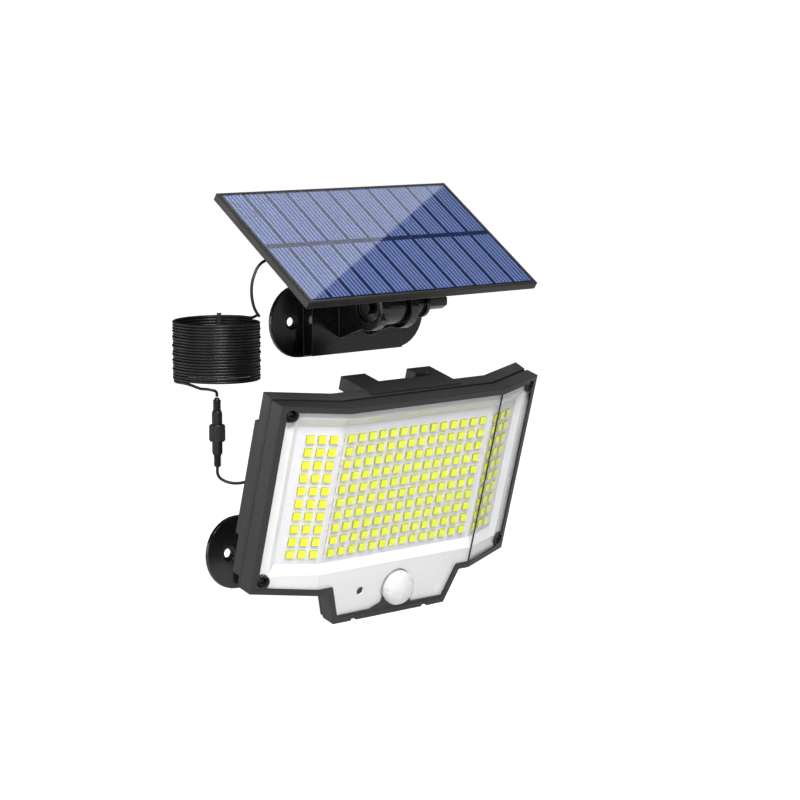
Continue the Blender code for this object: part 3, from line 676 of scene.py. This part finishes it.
def turned(profile: Sequence[Pair], count: int, matrix: Matrix,
           shape: Optional[Callable[[float, float, float], Pair]] = None) -> Mesh:
    """Turn a profile about Z into a closed mesh.

    Args:
        profile: (radius, height) pairs; a closed loop, or one that starts and ends on the axis.
        count: Sides.
        matrix: Takes the profile's millimetres to the frame's metres.
        shape: Returns a new pair for (radius, height, angle), or None for a plain turning.

    Returns:
        The mesh.
    """
    rings = []
    for pair in profile:
        ring = []
        for i in range(count):
            angle = 2 * math.pi * i / count
            radius, height = shape(*pair, angle) if shape else pair
            ring.append((radius * math.cos(angle), radius * math.sin(angle), height))
        rings.append(ring)
    return lofted(rings, matrix, looped=profile[0][0] > 0.0 and profile[-1][0] > 0.0)


def plate(points: Sequence[Pair], near: float, far: float, matrix: Matrix) -> Mesh:
    """Return a closed plate between two depths, from its outline as (x, z) pairs."""
    return lofted([[(x, depth, z) for x, z in points] for depth in (near, far)], matrix,
                  capped=True)


def joined(meshes: Sequence[Mesh]) -> Mesh:
    """Join meshes into one, each with its own materials."""
    materials: list[Material] = []
    bm = bmesh.new()
    for mesh in meshes:
        first = len(bm.faces)
        bm.from_mesh(mesh)
        bm.faces.ensure_lookup_table()
        for face in bm.faces[first:]:
            material = mesh.materials[face.material_index]
            if material not in materials:
                materials.append(material)
            face.material_index = materials.index(material)
    result = bpy.data.meshes.new("joined")
    bm.to_mesh(result)
    bm.free()
    for material in materials:
        result.materials.append(material)
    return result


def painted(mesh: Mesh, material: Material) -> Mesh:
    """Give a mesh one material and return it."""
    mesh.materials.clear()
    mesh.materials.append(material)
    return mesh


# ------------------------------------------------------------------ brackets

@dataclass
class WallBracket:
    """One wall bracket: plate, pivot bolt, washer and knob, and the arm on the head."""

    prefix: str
    head: str
    knob_body: str

    def build(self, finishes: Finishes) -> None:
        """Make the bracket's pieces."""
        name, moulded, steel = self.prefix, finishes.bracket, finishes.dark_steel
        for node, edges, piece, body, slot, finish, least in (
                ("wall_plate", Edges.FULL, "bracket", "wall_side", "wall_bracket", moulded, 34.0),
                ("arm", Edges.SOFT, "head_arm", self.head, "wall_bracket", moulded, 34.0),
                ("knob", Edges.FULL, "clamp_knob", self.knob_body, "wall_bracket", moulded, 40.0),
                ("pivot_bolt", Edges.CRISP, "bolt", "wall_side", "steel", steel, 40.0)):
            softened(f"{name}_{node}", edges, f"{name}_{piece}", body, finish, least)
        dress(steel, f"{name}_pivot_washer")


@dataclass
class PanScrews:
    """Cross-slotted pan heads on a set of four packed screw nodes, which share one direction."""

    node: str
    body: str
    facing: Matrix                  # turns +Z to the way the heads face
    seat: float = 1.3               # from the middle of the node to the seat of the head, mm
    sides: int = 16
    slot_half: float = 0.5
    slot_deep: float = 1.1

    def cross(self, radius: float, height: float, angle: float) -> Pair:
        """Sink the points of a head that lie in its cross slot."""
        aside = min(abs(math.sin(angle)), abs(math.cos(angle))) * radius
        in_slot = height > 1.4 and radius < 2.0 and aside < self.slot_half
        return radius, height - self.slot_deep * in_slot

    def build(self, finish: Material) -> Piece:
        """Put one head on each node by a geometry tree, and return the piece."""
        nodes = [f"{self.node}_{i}" for i in (1, 2, 3, 4)]
        out = self.facing.to_3x3() @ Vector((0.0, 0.0, self.seat * MM))
        places = bpy.data.meshes.new("screw_places")
        places.from_pydata([tuple(sum(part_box(node), Vector()) / 2 + out) for node in nodes], [], [])
        profile = [(0.0, 2.2), (0.9, 2.15), (1.5, 1.95), (2.3, 1.5), (2.85, 0.8), (3.0, 0.1),
                   (3.0, -0.4), (1.4, -0.4), (1.4, -4.5), (0.0, -4.5)]
        head = turned(profile, self.sides, self.facing @ Matrix.Scale(MM, 4), self.cross)
        source = placed("screw", painted(head, finish))
        bench = GeometryBench("screws_on_points")
        screw = bench.node("ObjectInfo", {"Object": source}, "Geometry")
        heads = bench.copies(bench.entry.outputs["Geometry"], screw)
        mesh = grown(bench.close(bench.painted(heads, finish)), places)
        bpy.data.objects.remove(source, do_unlink=True)
        return stand(self.node + "s", mesh, self.body, None, 30.0, nodes)


# ------------------------------------------------------------------ solar panel

@dataclass
class SolarPanel:
    """The panel head: tray, cells with printed lines, glass, and junction box."""

    cells_across: int = 11
    cell_rows: int = 2
    pitch_x: float = 16.95
    pitch_u: float = 51.95
    cell_w: float = 14.3
    cell_l: float = 48.2
    cells_at: Point = (0.9, 0.6, -1.25)
    lines: int = 5
    line_pitch: float = 3.0
    line_w: float = 1.35
    backing: Pair = (186.4, 101.4)
    backing_depth: float = -1.8

    def build(self, finishes: Finishes) -> None:
        """Make the panel's pieces."""
        for node, edges, name in (("panel_frame", Edges.FULL, "panel_tray"),
                                  ("junction_box", Edges.SOFT, "cable_junction_box"),
                                  ("junction_lid", Edges.CRISP, "cable_junction_lid")):
            softened(node, edges, name, "panel_head", finishes.tray)
        clear_sheet("panel_glass", finishes.glass)
        self.build_cells(finishes)

    def build_cells(self, finishes: Finishes) -> Piece:
        """Lay the printed cells on their backing by a geometry tree, and return the piece."""
        bench = GeometryBench("printed_cells")
        pitch_x, pitch_u, cell_w, cell_l = bench.sizes("Pitch X", "Pitch U", "Cell Width",
                                                       "Cell Length")
        across, rows, lines = bench.sizes("Across", "Rows", "Lines", kind="Int")
        line_w, step, sheet_w, sheet_l = bench.sizes("Line Width", "Line Pitch", "Sheet Width",
                                                     "Sheet Length")
        line = bench.block(line_w, bench.maths("SUBTRACT", cell_l, 0.6), 0.06)
        line = bench.painted(bench.moved(line, (0.0, 0.0, 0.07)), finishes.line)
        start = bench.vector(bench.maths("MULTIPLY", bench.span(step, lines), -0.5))
        row = bench.node("MeshLine", {"Count": lines, "Start Location": start,
                                      "Offset": bench.vector(step)})
        one = bench.together(bench.painted(bench.block(cell_w, cell_l, 0.1), finishes.cell),
                             bench.copies(row, line))
        grid = bench.grid(bench.span(pitch_x, across), bench.span(pitch_u, rows), across, rows)
        field = bench.moved(bench.copies(grid, one), self.cells_at)
        sheet = bench.moved(bench.block(sheet_w, sheet_l, 1.0), (0.0, 0.0, self.backing_depth))
        everything = bench.together(field, bench.painted(sheet, finishes.backing))
        mesh = grown(bench.close(everything), Pitch_X=self.pitch_x, Pitch_U=self.pitch_u,
                     Cell_Width=self.cell_w, Cell_Length=self.cell_l, Across=self.cells_across,
                     Rows=self.cell_rows, Lines=self.lines, Line_Width=self.line_w,
                     Line_Pitch=self.line_pitch, Sheet_Width=self.backing[0],
                     Sheet_Length=self.backing[1])
        mesh.transform(PANEL_FACE.matrix())
        return stand("printed_solar_cells", mesh, "panel_head", None, 30.0,
                     ["solar_laminate"])


# ------------------------------------------------------------------ lamp

@dataclass
class LampHead:
    """The lamp head: housing, bezel, cover, reflector, LED boards, and sensor."""

    led: Point = (4.8, 4.8, 1.3)
    rows: int = 10
    pitch: float = 8.1
    top_row: float = 38.0
    columns: int = 14
    pitch_x: float = 8.2
    wing_columns: int = 3
    wing_pitch: float = 7.5
    wing_first: float = 65.2
    board_front: float = 6.5
    dome: Point = (2.6, -64.0, 10.8)            # x, z and radius
    dome_rise: float = 6.9
    dome_step: float = 1.5                      # height of the dome's straight foot
    facet_bands: Sequence[Point] = ((0.0, 34.0, 12), (34.0, 62.0, 8), (62.0, 84.0, 5))
    lip: Pair = (-77.6, -76.1)                  # the bezel's lower lip, from and to
    lip_half: float = 44.0

    def build(self, finishes: Finishes) -> None:
        """Make the lamp's pieces."""
        for node, edges, name, slot, finish in (
                ("front_bezel", Edges.SOFT, "lamp_bezel", "housing", finishes.shell),
                ("rear_housing", Edges.SOFT, "lamp_housing", "housing", finishes.shell),
                ("reflector", Edges.CRISP, "lamp_reflector", "reflector_white", finishes.white)):
            softened(node, edges, name, "lamp_head", finish)
        clear_sheet("lens_cover", finishes.cover)
        dress(finishes.board, "led_board_left", "led_board_center", "led_board_right")
        dress(finishes.rubber, "bezel_seal", "light_sensor")
        dress(finishes.green, "sensor_board", "control_board")
        dress(finishes.wrap, "battery_1", "battery_2")
        dress(finishes.shell, "battery_holder")
        dress(finishes.steel, "motion_sensor")
        self.build_leds(finishes)
        self.build_dome(finishes)
        self.build_dark_gap_ring(finishes)
        self.build_seam(finishes)
        self.build_fold_strips(finishes)
        softened("button_bezel", Edges.CRISP, "switch_rim", "lamp_head",
                 finishes.bracket)
        softened("power_button", Edges.CRISP, "switch_cap", "power_button",
                 finishes.rubber)
        softened("lamp_gland", Edges.CRISP, "lamp_cable_gland", "lamp_head",
                 finishes.rubber, 40.0)

    def led_tree(self, finishes: Finishes) -> bpy.types.NodeTree:
        """Return the tree that lays a grid of LEDs, each a case with a phosphor face; the case's dark
        olive sides are painted shade.
        """
        bench = GeometryBench("led_rows")
        size_x, size_y, wide, long, tall = bench.sizes("Size X", "Size Y", "Led Width",
                                                       "Led Length", "Led Height")
        columns, rows = bench.sizes("Columns", "Rows", kind="Int")
        face = bench.block(bench.maths("SUBTRACT", wide, 0.3), bench.maths("SUBTRACT", long, 0.3),
                           0.5)
        rise = bench.maths("SUBTRACT", bench.maths("MULTIPLY", tall, 0.5), 0.1)
        face = bench.moved(face, bench.vector(0.0, 0.0, rise))
        # the case's olive sides are painted shade round each lit yellow face
        one = bench.together(bench.painted(bench.block(wide, long, tall), finishes.led_case),
                             bench.painted(face, finishes.phosphor))
        return bench.close(bench.copies(bench.grid(size_x, size_y, columns, rows), one))

    def build_leds(self, finishes: Finishes) -> Piece:
        """Lay the LEDs on the three boards, and return them as one piece."""
        tree = self.led_tree(finishes)
        wide, long, tall = self.led
        height = self.pitch * (self.rows - 1)
        middle_z = self.top_row - height / 2
        half_case = tall / 2 - 0.02
        meshes = []
        for side in (-1, 0, 1):
            if side == 0:
                size_x, columns = self.pitch_x * (self.columns - 1), self.columns
                lay = shift(0.0, self.board_front - half_case, middle_z)
            else:
                columns = self.wing_columns
                size_x = self.wing_pitch * (columns - 1)
                fold = math.cos(math.radians(FOLD_DEGREES))
                mid_x = self.wing_first + size_x / 2 * fold
                depth = self.board_front + FOLD_SLOPE * (mid_x - FOLD_X)
                lay = (shift(side * mid_x, depth, middle_z) @ turn(side * FOLD_DEGREES, "Z")
                       @ shift(0.0, -half_case / fold, 0.0))
            mesh = grown(tree, Size_X=size_x, Size_Y=height, Columns=columns, Rows=self.rows,
                         Led_Width=wide, Led_Length=long, Led_Height=tall)
            mesh.transform(LAMP_FACE.matrix() @ lay @ turn(90.0, "X"))
            meshes.append(mesh)
        return stand("led_packages", joined(meshes), "lamp_head")

    def facet(self, radius: float, height: float, angle: float) -> Pair:
        """Let a point of the dome bulge to the middle of its facet."""
        sine = (height - self.dome_step) / self.dome_rise
        lift = math.degrees(math.asin(max(-1.0, min(1.0, sine))))
        for low, high, number in self.facet_bands:
            if low < lift <= high:
                across = abs((angle / (2 * math.pi) * number) % 1.0 * 2 - 1)
                along = abs((lift - low) / (high - low) * 2 - 1)
                return radius * (1.0 - 0.05 * max(across, along) ** 8), height
        return radius, height

    def dome_place(self) -> Matrix:
        """Return the matrix of the dome's axis, which points out of the lamp."""
        x, z, _ = self.dome
        return LAMP_FACE.matrix() @ shift(x, 0.0, z) @ turn(90.0, "X")

    def build_dome(self, finishes: Finishes) -> Piece:
        """Make the sensor's lens from rings of bulging facets, and return it."""
        radius, foot, steps = self.dome[2], self.dome_step, 23
        profile = [(0.0, -5.2), (13.0, -5.2), (13.0, -4.2), (radius, -4.2), (radius, foot)]
        for i in range(1, steps + 1):
            lift = math.radians(88.0 * i / steps)
            profile.append((radius * math.cos(lift), foot + self.dome_rise * math.sin(lift)))
        profile.append((0.0, foot + self.dome_rise))
        mesh = turned(profile, 120, self.dome_place(), self.facet)
        return stand("faceted_sensor_dome", mesh, "lamp_head", finishes.milk, 24.0,
                     ["sensor_dome"])

    def build_dark_gap_ring(self, finishes: Finishes) -> Piece:
        """Make the black ring round the dome, painted shade for the dark gap between the dome and its
        hole, and its collar on the bezel's lower lip.
        """
        x, z, radius = self.dome
        # a thin black ring just outside the dome: painted shade for the gap round it, where the dark
        # inside of the lamp shows
        ring = turned([(radius + 0.06, -3.9), (radius + 0.47, -3.9), (radius + 0.47, -1.4),
                       (radius + 0.06, -1.4)], 72, self.dome_place())
        foot, top = self.lip
        collar = [(-self.lip_half, foot), (-self.lip_half, top), (-16.8, top)]
        for i in range(9):
            angle = math.radians(222.0 - 11.0 * i / 8)
            reach = radius + 2.3 - 0.13 * i
            collar.append((x + reach * math.cos(angle) - 1.2 * (1 - i / 8),
                           z + reach * math.sin(angle)))
        for i in range(19):
            angle = math.radians(211.0 + 118.0 * i / 18)
            reach = radius + 0.1
            collar.append((x + reach * math.cos(angle), z + reach * math.sin(angle)))
        collar += [(x + 12.6, -73.4), (x + 14.6, top), (self.lip_half, top),
                   (self.lip_half, foot)]
        crescent = plate(collar, 0.3, 1.4, LAMP_FACE.matrix())
        meshes = [painted(ring, finishes.rubber), painted(crescent, finishes.shell)]
        return stand("dome_gasket", joined(meshes), "lamp_head")

    def build_seam(self, finishes: Finishes) -> Piece:
        """Make the thin dark seam that runs down the cover's right-hand fold, and return it."""
        half, end = 0.45, 56.6
        points = [(FOLD_X - half, -end), (FOLD_X + half, -end), (FOLD_X + half, end),
                  (FOLD_X - half, end)]
        seam = plate(points, 1.12, 1.48, LAMP_FACE.matrix())
        return stand("cover_seam", seam, "lamp_head", finishes.rubber)

    def build_fold_strips(self, finishes: Finishes) -> Piece:
        """Cover the gaps between the boards with bent white strips, and return them."""
        front, back, half = 6.46, 6.2, 1.1
        inner, outer, rise = FOLD_X - half, FOLD_X + half, half * FOLD_SLOPE
        profile = [(inner, front), (FOLD_X, front), (outer, front + rise), (outer, back + rise),
                   (FOLD_X, back), (inner, back)]
        strips = []
        for side in (-1, 1):
            rings = [[(side * x, y, z) for x, y in profile] for z in (-43.3, 47.8)]
            strips.append(painted(lofted(rings, LAMP_FACE.matrix(), capped=True), finishes.board))
        return stand("board_fold_strips", joined(strips), "lamp_head")


# ------------------------------------------------------------------ cable

def smooth_route(points: Sequence[Point], spacing: float) -> list[Vector]:
    """Return points on a smooth curve through a route.

    Args:
        points: The route's points, in metres.
        spacing: The distance between the points that are returned, in metres.

    Returns:
        Evenly spaced points on a centripetal Catmull-Rom curve, with both ends.
    """
    route = [Vector(p) for p in points]
    ends = [route[0] * 2 - route[1]] + route + [route[-1] * 2 - route[-2]]
    dense = []
    for i in range(1, len(ends) - 2):
        p = ends[i - 1:i + 3]
        knots = [0.0]
        for a, b in zip(p, p[1:]):
            knots.append(knots[-1] + math.sqrt((b - a).length))
        for k in range(24):
            t = knots[1] + (knots[2] - knots[1]) * k / 24
            level = p
            for width in (1, 2, 3):
                level = [level[m].lerp(level[m + 1], (t - knots[max(0, m if width < 3 else 1)])
                                       / (knots[min(3, m + width if width < 3 else 2)]
                                          - knots[max(0, m if width < 3 else 1)]))
                         for m in range(len(level) - 1)]
            dense.append(level[0])
    dense.append(route[-1])
    total = sum((b - a).length for a, b in zip(dense, dense[1:]))
    count = max(4, round(total / spacing))
    result, walked = [dense[0]], 0.0
    for a, b in zip(dense, dense[1:]):
        length = (b - a).length
        while len(result) < count and walked + length >= total * len(result) / count:
            result.append(a.lerp(b, (total * len(result) / count - walked) / length))
        walked += length
    return result + [dense[-1]]


def run(path: Sequence[Vector]) -> float:
    """Return the length of a path."""
    return sum((b - a).length for a, b in zip(path, path[1:]))


def tube(path: Sequence[Vector], radius: float, sides: int = 10) -> Mesh:
    """Return a closed tube along a path.

    Args:
        path: The middles of its rings, in metres.
        radius: In metres.
        sides: Sides of each ring.

    Returns:
        The mesh.
    """
    rings = []
    across = None
    for i, centre in enumerate(path):
        along = (path[min(i + 1, len(path) - 1)] - path[max(i - 1, 0)]).normalized()
        if across is None:
            across = along.cross(Vector((0.0, 0.0, 1.0)))
            if across.length < 0.1:
                across = along.cross(Vector((1.0, 0.0, 0.0)))
        across = (across - along * across.dot(along)).normalized()
        up = along.cross(across)
        ring = []
        for k in range(sides):
            angle = 2 * math.pi * k / sides
            ring.append(centre + (across * math.cos(angle) + up * math.sin(angle)) * radius)
        rings.append(ring)
    return lofted(rings, capped=True)


@dataclass
class PlugCable:
    """The coiled lead from the panel, its screw-ring plug, and the short lead to the lamp."""

    radius: float = 0.9 * MM
    turns: float = 20.655
    points_a_turn: int = 36
    coil_radius: float = 25.5 * MM
    coil_centre: Point = (-0.0783, -0.031, 0.1326)
    coil_low: float = 0.1145
    coil_high: float = 0.1507
    start_angle: float = math.radians(-25.0)
    tie_angle: float = 48.0                     # degrees
    tie_half: float = 1.3                       # half of the tie's width, mm
    plug_axis: Point = (-92.6, -49.0, 0.0)
    nut: Pair = (80.9, 90.9)
    nut_ribs: int = 24
    upper: Sequence[Point] = (
        (-0.0306, -0.0437, 0.1855), (-0.037, -0.0437, 0.1857), (-0.044, -0.0438, 0.186),
        (-0.0514, -0.044, 0.1854), (-0.0564, -0.0442, 0.1824), (-0.0598, -0.0447, 0.1778),
        (-0.0624, -0.0455, 0.1723), (-0.0635, -0.0465, 0.1658), (-0.0628, -0.0477, 0.1588),
        (-0.0614, -0.0486, 0.1553), (-0.0596, -0.0482, 0.1534), (-0.0573, -0.0456, 0.15295),
        (-0.0552, -0.0418, 0.1529))
    lower: Sequence[Point] = (
        (-0.1002, -0.044, 0.1124), (-0.0989, -0.0464, 0.1124), (-0.097, -0.0489, 0.112),
        (-0.0946, -0.0501, 0.1112), (-0.0929, -0.0494, 0.1097), (-0.0926, -0.049, 0.1077))
    lamp: Sequence[Point] = (
        (-0.0926, -0.049, 0.065), (-0.0928, -0.049, 0.0622), (-0.092, -0.0499, 0.0592),
        (-0.0896, -0.0521, 0.057), (-0.0864, -0.0552, 0.0558), (-0.0818, -0.0582, 0.0558),
        (-0.0762, -0.0604, 0.0574), (-0.0704, -0.0622, 0.0602), (-0.0654, -0.0648, 0.0632),
        (-0.0624, -0.0694, 0.0648), (-0.062, -0.0741, 0.06375))

    def coil(self) -> list[Vector]:
        """Return the coil's points from its top to its foot."""
        count = round(self.turns * self.points_a_turn)
        points = []
        for i in range(count + 1):
            share = i / count
            angle = self.start_angle + 2 * math.pi * self.turns * share
            sway = 0.35 * MM * math.sin(angle * 0.37 + 1.0) * math.sin(math.pi * share)
            spread = self.coil_radius + sway
            points.append(Vector((self.coil_centre[0] + spread * math.cos(angle),
                                  self.coil_centre[1] + spread * math.sin(angle),
                                  self.coil_high + (self.coil_low - self.coil_high) * share)))
        return points

    def panel_path(self) -> list[Vector]:
        """Return the whole panel lead's centreline, from the panel's gland to the plug."""
        coil = self.coil()
        first = smooth_route([*self.upper, *coil[2:8:2]], 1.6 * MM)
        last = smooth_route([*coil[-9:-2:3], *self.lower], 1.2 * MM)
        return first + coil[8:-9] + last

    def build(self, finishes: Finishes) -> None:
        """Make the cable's pieces."""
        plug, socket = self.build_plug(finishes)
        tie = self.build_tie(finishes)
        path = self.panel_path()
        lead = self.piece("panel_lead", path, finishes, "panel_lead_upper", "cable_coil",
                          "panel_lead_lower")
        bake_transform(lead)
        gland = softened("panel_gland", Edges.CRISP, "panel_cable_gland", "panel_head",
                         finishes.rubber, 40.0)

        short = smooth_route(self.lamp, 1.5 * MM)
        lamp_lead = self.piece("lamp_cable", short, finishes, "lamp_lead")
        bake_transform(lamp_lead)

    def piece(self, name: str, path: Sequence[Vector], finishes: Finishes, *nodes: str) -> Piece:
        """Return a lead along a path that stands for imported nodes, riding on nothing yet."""
        mesh = painted(tube(path, self.radius), finishes.jacket)
        mesh.name = name
        mesh.shade_smooth()
        obj = placed(name, mesh)
        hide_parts(*nodes)
        LOG.info("%s: %d faces, %.3f m", name, len(mesh.polygons), run(path))
        return obj

    def build_tie(self, finishes: Finishes) -> Piece:
        """Make the thin strap that holds the coil's turns together, and return it."""
        middle = (self.coil_low + self.coil_high) / 2 / MM
        half = (self.coil_high - self.coil_low) / 2 / MM
        count, wide = 32, self.tie_half
        rings = []
        for i in range(count):
            angle = 2 * math.pi * (i + 0.5) / count
            lift = middle + math.copysign(half, math.sin(angle))
            (r0, z0), (r1, z1) = [(self.coil_radius / MM + grow * math.cos(angle),
                                   lift + grow * math.sin(angle)) for grow in (1.05, 1.75)]
            rings.append([(r0, -wide, z0), (r1, -wide, z1), (r1, wide, z1), (r0, wide, z0)])
        place = (shift(self.coil_centre[0], self.coil_centre[1], 0.0)
                 @ turn(self.tie_angle, "Z") @ Matrix.Scale(MM, 4))
        return stand("coil_binding", lofted(rings, place, looped=True), "wall_side",
                     finishes.rubber, 40.0, ["coil_tie"])

    def build_plug(self, finishes: Finishes) -> list[Piece]:
        """Make the plug, the socket and the ribbed ring on them; return the first two."""
        line = Matrix.Scale(MM, 4) @ shift(*self.plug_axis)
        pieces = []
        for name, node, start, shoulder, step, end in (
                ("plug_body", "cable_plug", 86.2, ((3.1, 97.6), (2.9, 98.6), (2.5, 99.2)),
                 1.1, 107.0),
                ("socket_body", "cable_socket", 85.6, ((3.1, 74.6), (2.8, 73.2), (2.3, 72.6)),
                 -1.1, 65.3)):
            profile = [(0.0, start), (3.1, start), *shoulder, *self.rings(*shoulder[-1], step),
                       (1.25, end), (0.0, end)]
            pieces.append(stand(name, turned(profile, 28, line), "wall_side",
                                finishes.rubber, 28.0, [node]))
        self.build_nut(finishes, line)
        return pieces

    def rings(self, outer: float, start: float, step: float) -> list[Pair]:
        """Return the profile of a strain relief's six moulded rings.

        Args:
            outer: Radius of the rings.
            start: Height of the thick end, in millimetres.
            step: Height from ring to ring, negative for one that points down.

        Returns:
            (radius, height) pairs.
        """
        profile = []
        for i in range(6):
            for radius, share in ((outer - 0.6, 0.12), (outer, 0.3), (outer, 0.72),
                                  (outer - 0.6, 0.9)):
                profile.append((radius, start + step * (i + share)))
        return profile

    def build_nut(self, finishes: Finishes, line: Matrix) -> Piece:
        """Make the ring nut with its grip ribs by a geometry tree, and return it."""
        low, high = self.nut
        body = turned([(3.4, low), (4.3, low), (4.6, low + 0.5), (4.6, high - 0.5), (4.3, high),
                       (3.4, high)], 40, Matrix.Identity(4))
        bench = GeometryBench("grip_ribs")
        ribs, = bench.sizes("Ribs", kind="Int")
        ring, thick, tall, middle = bench.sizes("Ring Radius", "Rib Radius", "Rib Height", "Middle")
        circle = bench.node("MeshCircle", {"Vertices": ribs, "Radius": ring})
        rib = bench.node("MeshCylinder", {"Vertices": 8, "Radius": thick, "Depth": tall})
        lifted = bench.moved(bench.copies(circle, rib), bench.vector(0.0, 0.0, middle))
        all_parts = bench.together(bench.entry.outputs["Geometry"], lifted)
        mesh = grown(bench.close(bench.painted(all_parts, finishes.shell)), body,
                     Ribs=self.nut_ribs, Ring_Radius=4.52, Rib_Radius=0.36,
                     Rib_Height=high - low - 1.6, Middle=(low + high) / 2)
        mesh.transform(line)
        return stand("screw_ring", mesh, "coupling_nut", None, 30.0, ["coupling_nut"])


# ------------------------------------------------------------------ studio

@dataclass
class Studio:
    """Floor, lights, background and camera."""

    target: Point = (0.09905, 0.0, 0.08252)
    out: Point = (-0.66835, -0.7309, 0.13813)
    distance: float = 1.6077
    lens: float = 109.55
    floor: float = -0.11
    floor_reach: float = 40.0
    floor_glow: float = 0.76
    ambient: float = 0.27
    mirrored: float = 0.06
    glare_size: Pair = (1.6, 0.6)
    glare_power: float = 2.7
    glare_reach: float = 1.2                    # from the panel to the glare card

    def build(self) -> None:
        """Set up the studio."""
        self.build_camera()
        self.build_floor()
        self.build_background()
        self.lamp("key", (-0.7, -1.5, 1.6), (0.0, -0.05, 0.08), (0.7, 0.7), 34.0)
        self.lamp("left_fill", (-1.8, -0.5, 0.5), (0.0, -0.05, 0.08), (0.9, 0.9), 5.0)
        self.lamp("side_sheen", (-1.3, 1.2, -0.02), (-0.05, -0.05, 0.06), (1.1, 0.9), 6.0)
        self.build_glare()

    def eye(self) -> Vector:
        """Return the camera's place."""
        return Vector(self.target) + Vector(self.out).normalized() * self.distance

    def build_camera(self) -> None:
        """Place the camera."""
        data = bpy.data.cameras.new("camera")
        data.lens = self.lens
        data.sensor_width = 36.0
        camera = placed("camera", data)
        camera.location = self.eye()
        camera.rotation_euler = (-Vector(self.out)).to_track_quat("-Z", "Y").to_euler()
        bpy.context.scene.camera = camera

    def build_floor(self) -> None:
        """Lay a wide pale floor, which shows white and lights nothing."""
        bench = MaterialBench("pale_studio_floor")
        seen = bench.node("LightPath", out="Is Camera Ray")
        bench.set(Base_Color=bench.tint(bench.noise(1.5, 2.0), (0.9, 0.9, 0.9),
                                        (0.93, 0.93, 0.93)),
                  Roughness=bench.spread(bench.noise(3.0), 0.7, 0.8),
                  Emission_Color=WHITE, Specular_IOR_Level=0.0,
                  Emission_Strength=bench.node("MapRange", {"Value": seen, "To Min": 0.0,
                                                            "To Max": self.floor_glow}))
        mesh = bpy.data.meshes.new("studio_floor")
        reach = self.floor_reach
        mesh.from_pydata([(-reach, -reach, self.floor), (reach, -reach, self.floor),
                          (reach, reach, self.floor), (-reach, reach, self.floor)],
                         [], [(0, 1, 2, 3)])
        placed("studio_floor", painted(mesh, bench.material))

    def build_background(self) -> None:
        """Set an even white background that lights the object softly."""
        world = bpy.data.worlds.new("studio")
        bpy.context.scene.world = world
        world.use_nodes = True
        world.node_tree.nodes.clear()
        bench = Bench(world.node_tree)
        rays = bench.node("ShaderNodeLightPath").node.outputs
        dim = bench.node("ShaderNodeMapRange", {
            "Value": rays["Is Glossy Ray"], "To Min": self.ambient, "To Max": self.mirrored})
        soft = bench.node("ShaderNodeBackground", {"Color": WHITE, "Strength": dim})
        sight = bench.node("ShaderNodeBackground", {"Color": WHITE, "Strength": 1.0})
        mix = bench.node("ShaderNodeMixShader", {0: rays["Is Camera Ray"], 1: soft, 2: sight})
        bench.feed(world.node_tree.nodes.new("ShaderNodeOutputWorld"), "Surface", mix)
        bpy.context.scene.view_settings.view_transform = "Standard"

    def area(self, name: str, size: Pair, power: float) -> Piece:
        """Return a rectangular light of a size in metres and a power in watts."""
        data = bpy.data.lights.new(name, "AREA")
        data.shape = "RECTANGLE"
        data.size, data.size_y = size
        data.energy = power
        LOG.info("%s: %.0f W", name, power)
        return placed(name, data)

    def lamp(self, name: str, place: Point, aim: Point, size: Pair, power: float) -> None:
        """Hang a soft rectangular lamp at a place, facing a point."""
        light = self.area(name, size, power)
        light.location = place
        light.rotation_euler = (Vector(aim) - Vector(place)).to_track_quat("-Z", "Y").to_euler()

    def build_glare(self) -> None:
        """Hang a card whose edge mirrors as a diagonal across the panel's glass."""
        normal = (PANEL_FACE.matrix().to_3x3() @ Vector((0.0, 0.0, 1.0))).normalized()
        # the diagonal's two ends, and a point on its bright side
        spots = [PANEL_FACE.point(x, u, 0.0) for x, u in ((-95.0, -53.0), (94.0, 51.0),
                                                          (-95.0, 53.0))]
        mirrored = []
        for spot in spots:
            ray = (spot - self.eye()).normalized()
            mirrored.append(spot + (ray - normal * 2 * ray.dot(normal)) * self.glare_reach)
        edge = (mirrored[1] - mirrored[0]).normalized()
        side = mirrored[2] - mirrored[0]
        side = (side - edge * side.dot(edge)).normalized()
        centre = (mirrored[0] + mirrored[1]) / 2 + side * self.glare_size[1] / 2
        facing = edge.cross(side)
        if facing.dot(centre - spots[0]) < 0:
            edge, facing = -edge, -facing
        card = self.area("glare_card", self.glare_size, self.glare_power)
        card.matrix_world = (Matrix.Translation(centre)
                             @ Matrix((edge, side, facing)).transposed().to_4x4())
        card.visible_diffuse = False


def main() -> None:
    """Build every sub-assembly in order."""
    finishes = Finishes()
    Studio().build()
    PlugCable().build(finishes)
    WallBracket("lamp", "lamp_head", "lamp_knob").build(finishes)
    WallBracket("panel", "panel_head", "panel_knob").build(finishes)
    lamp_turn, panel_turn = turn(LAMP_FACE.tilt, "X"), turn(PANEL_FACE.tilt, "X")
    PanScrews("lamp_arm_screw", "lamp_head", lamp_turn @ turn(-90.0, "X")).build(finishes.steel)
    PanScrews("bezel_screw", "lamp_head", lamp_turn @ turn(90.0, "X"),
              4.5).build(finishes.dark_steel)
    PanScrews("panel_arm_screw", "panel_head", panel_turn @ turn(180.0, "X")).build(finishes.steel)
    SolarPanel().build(finishes)
    LampHead().build(finishes)


if __name__ == "__main__":
    main()
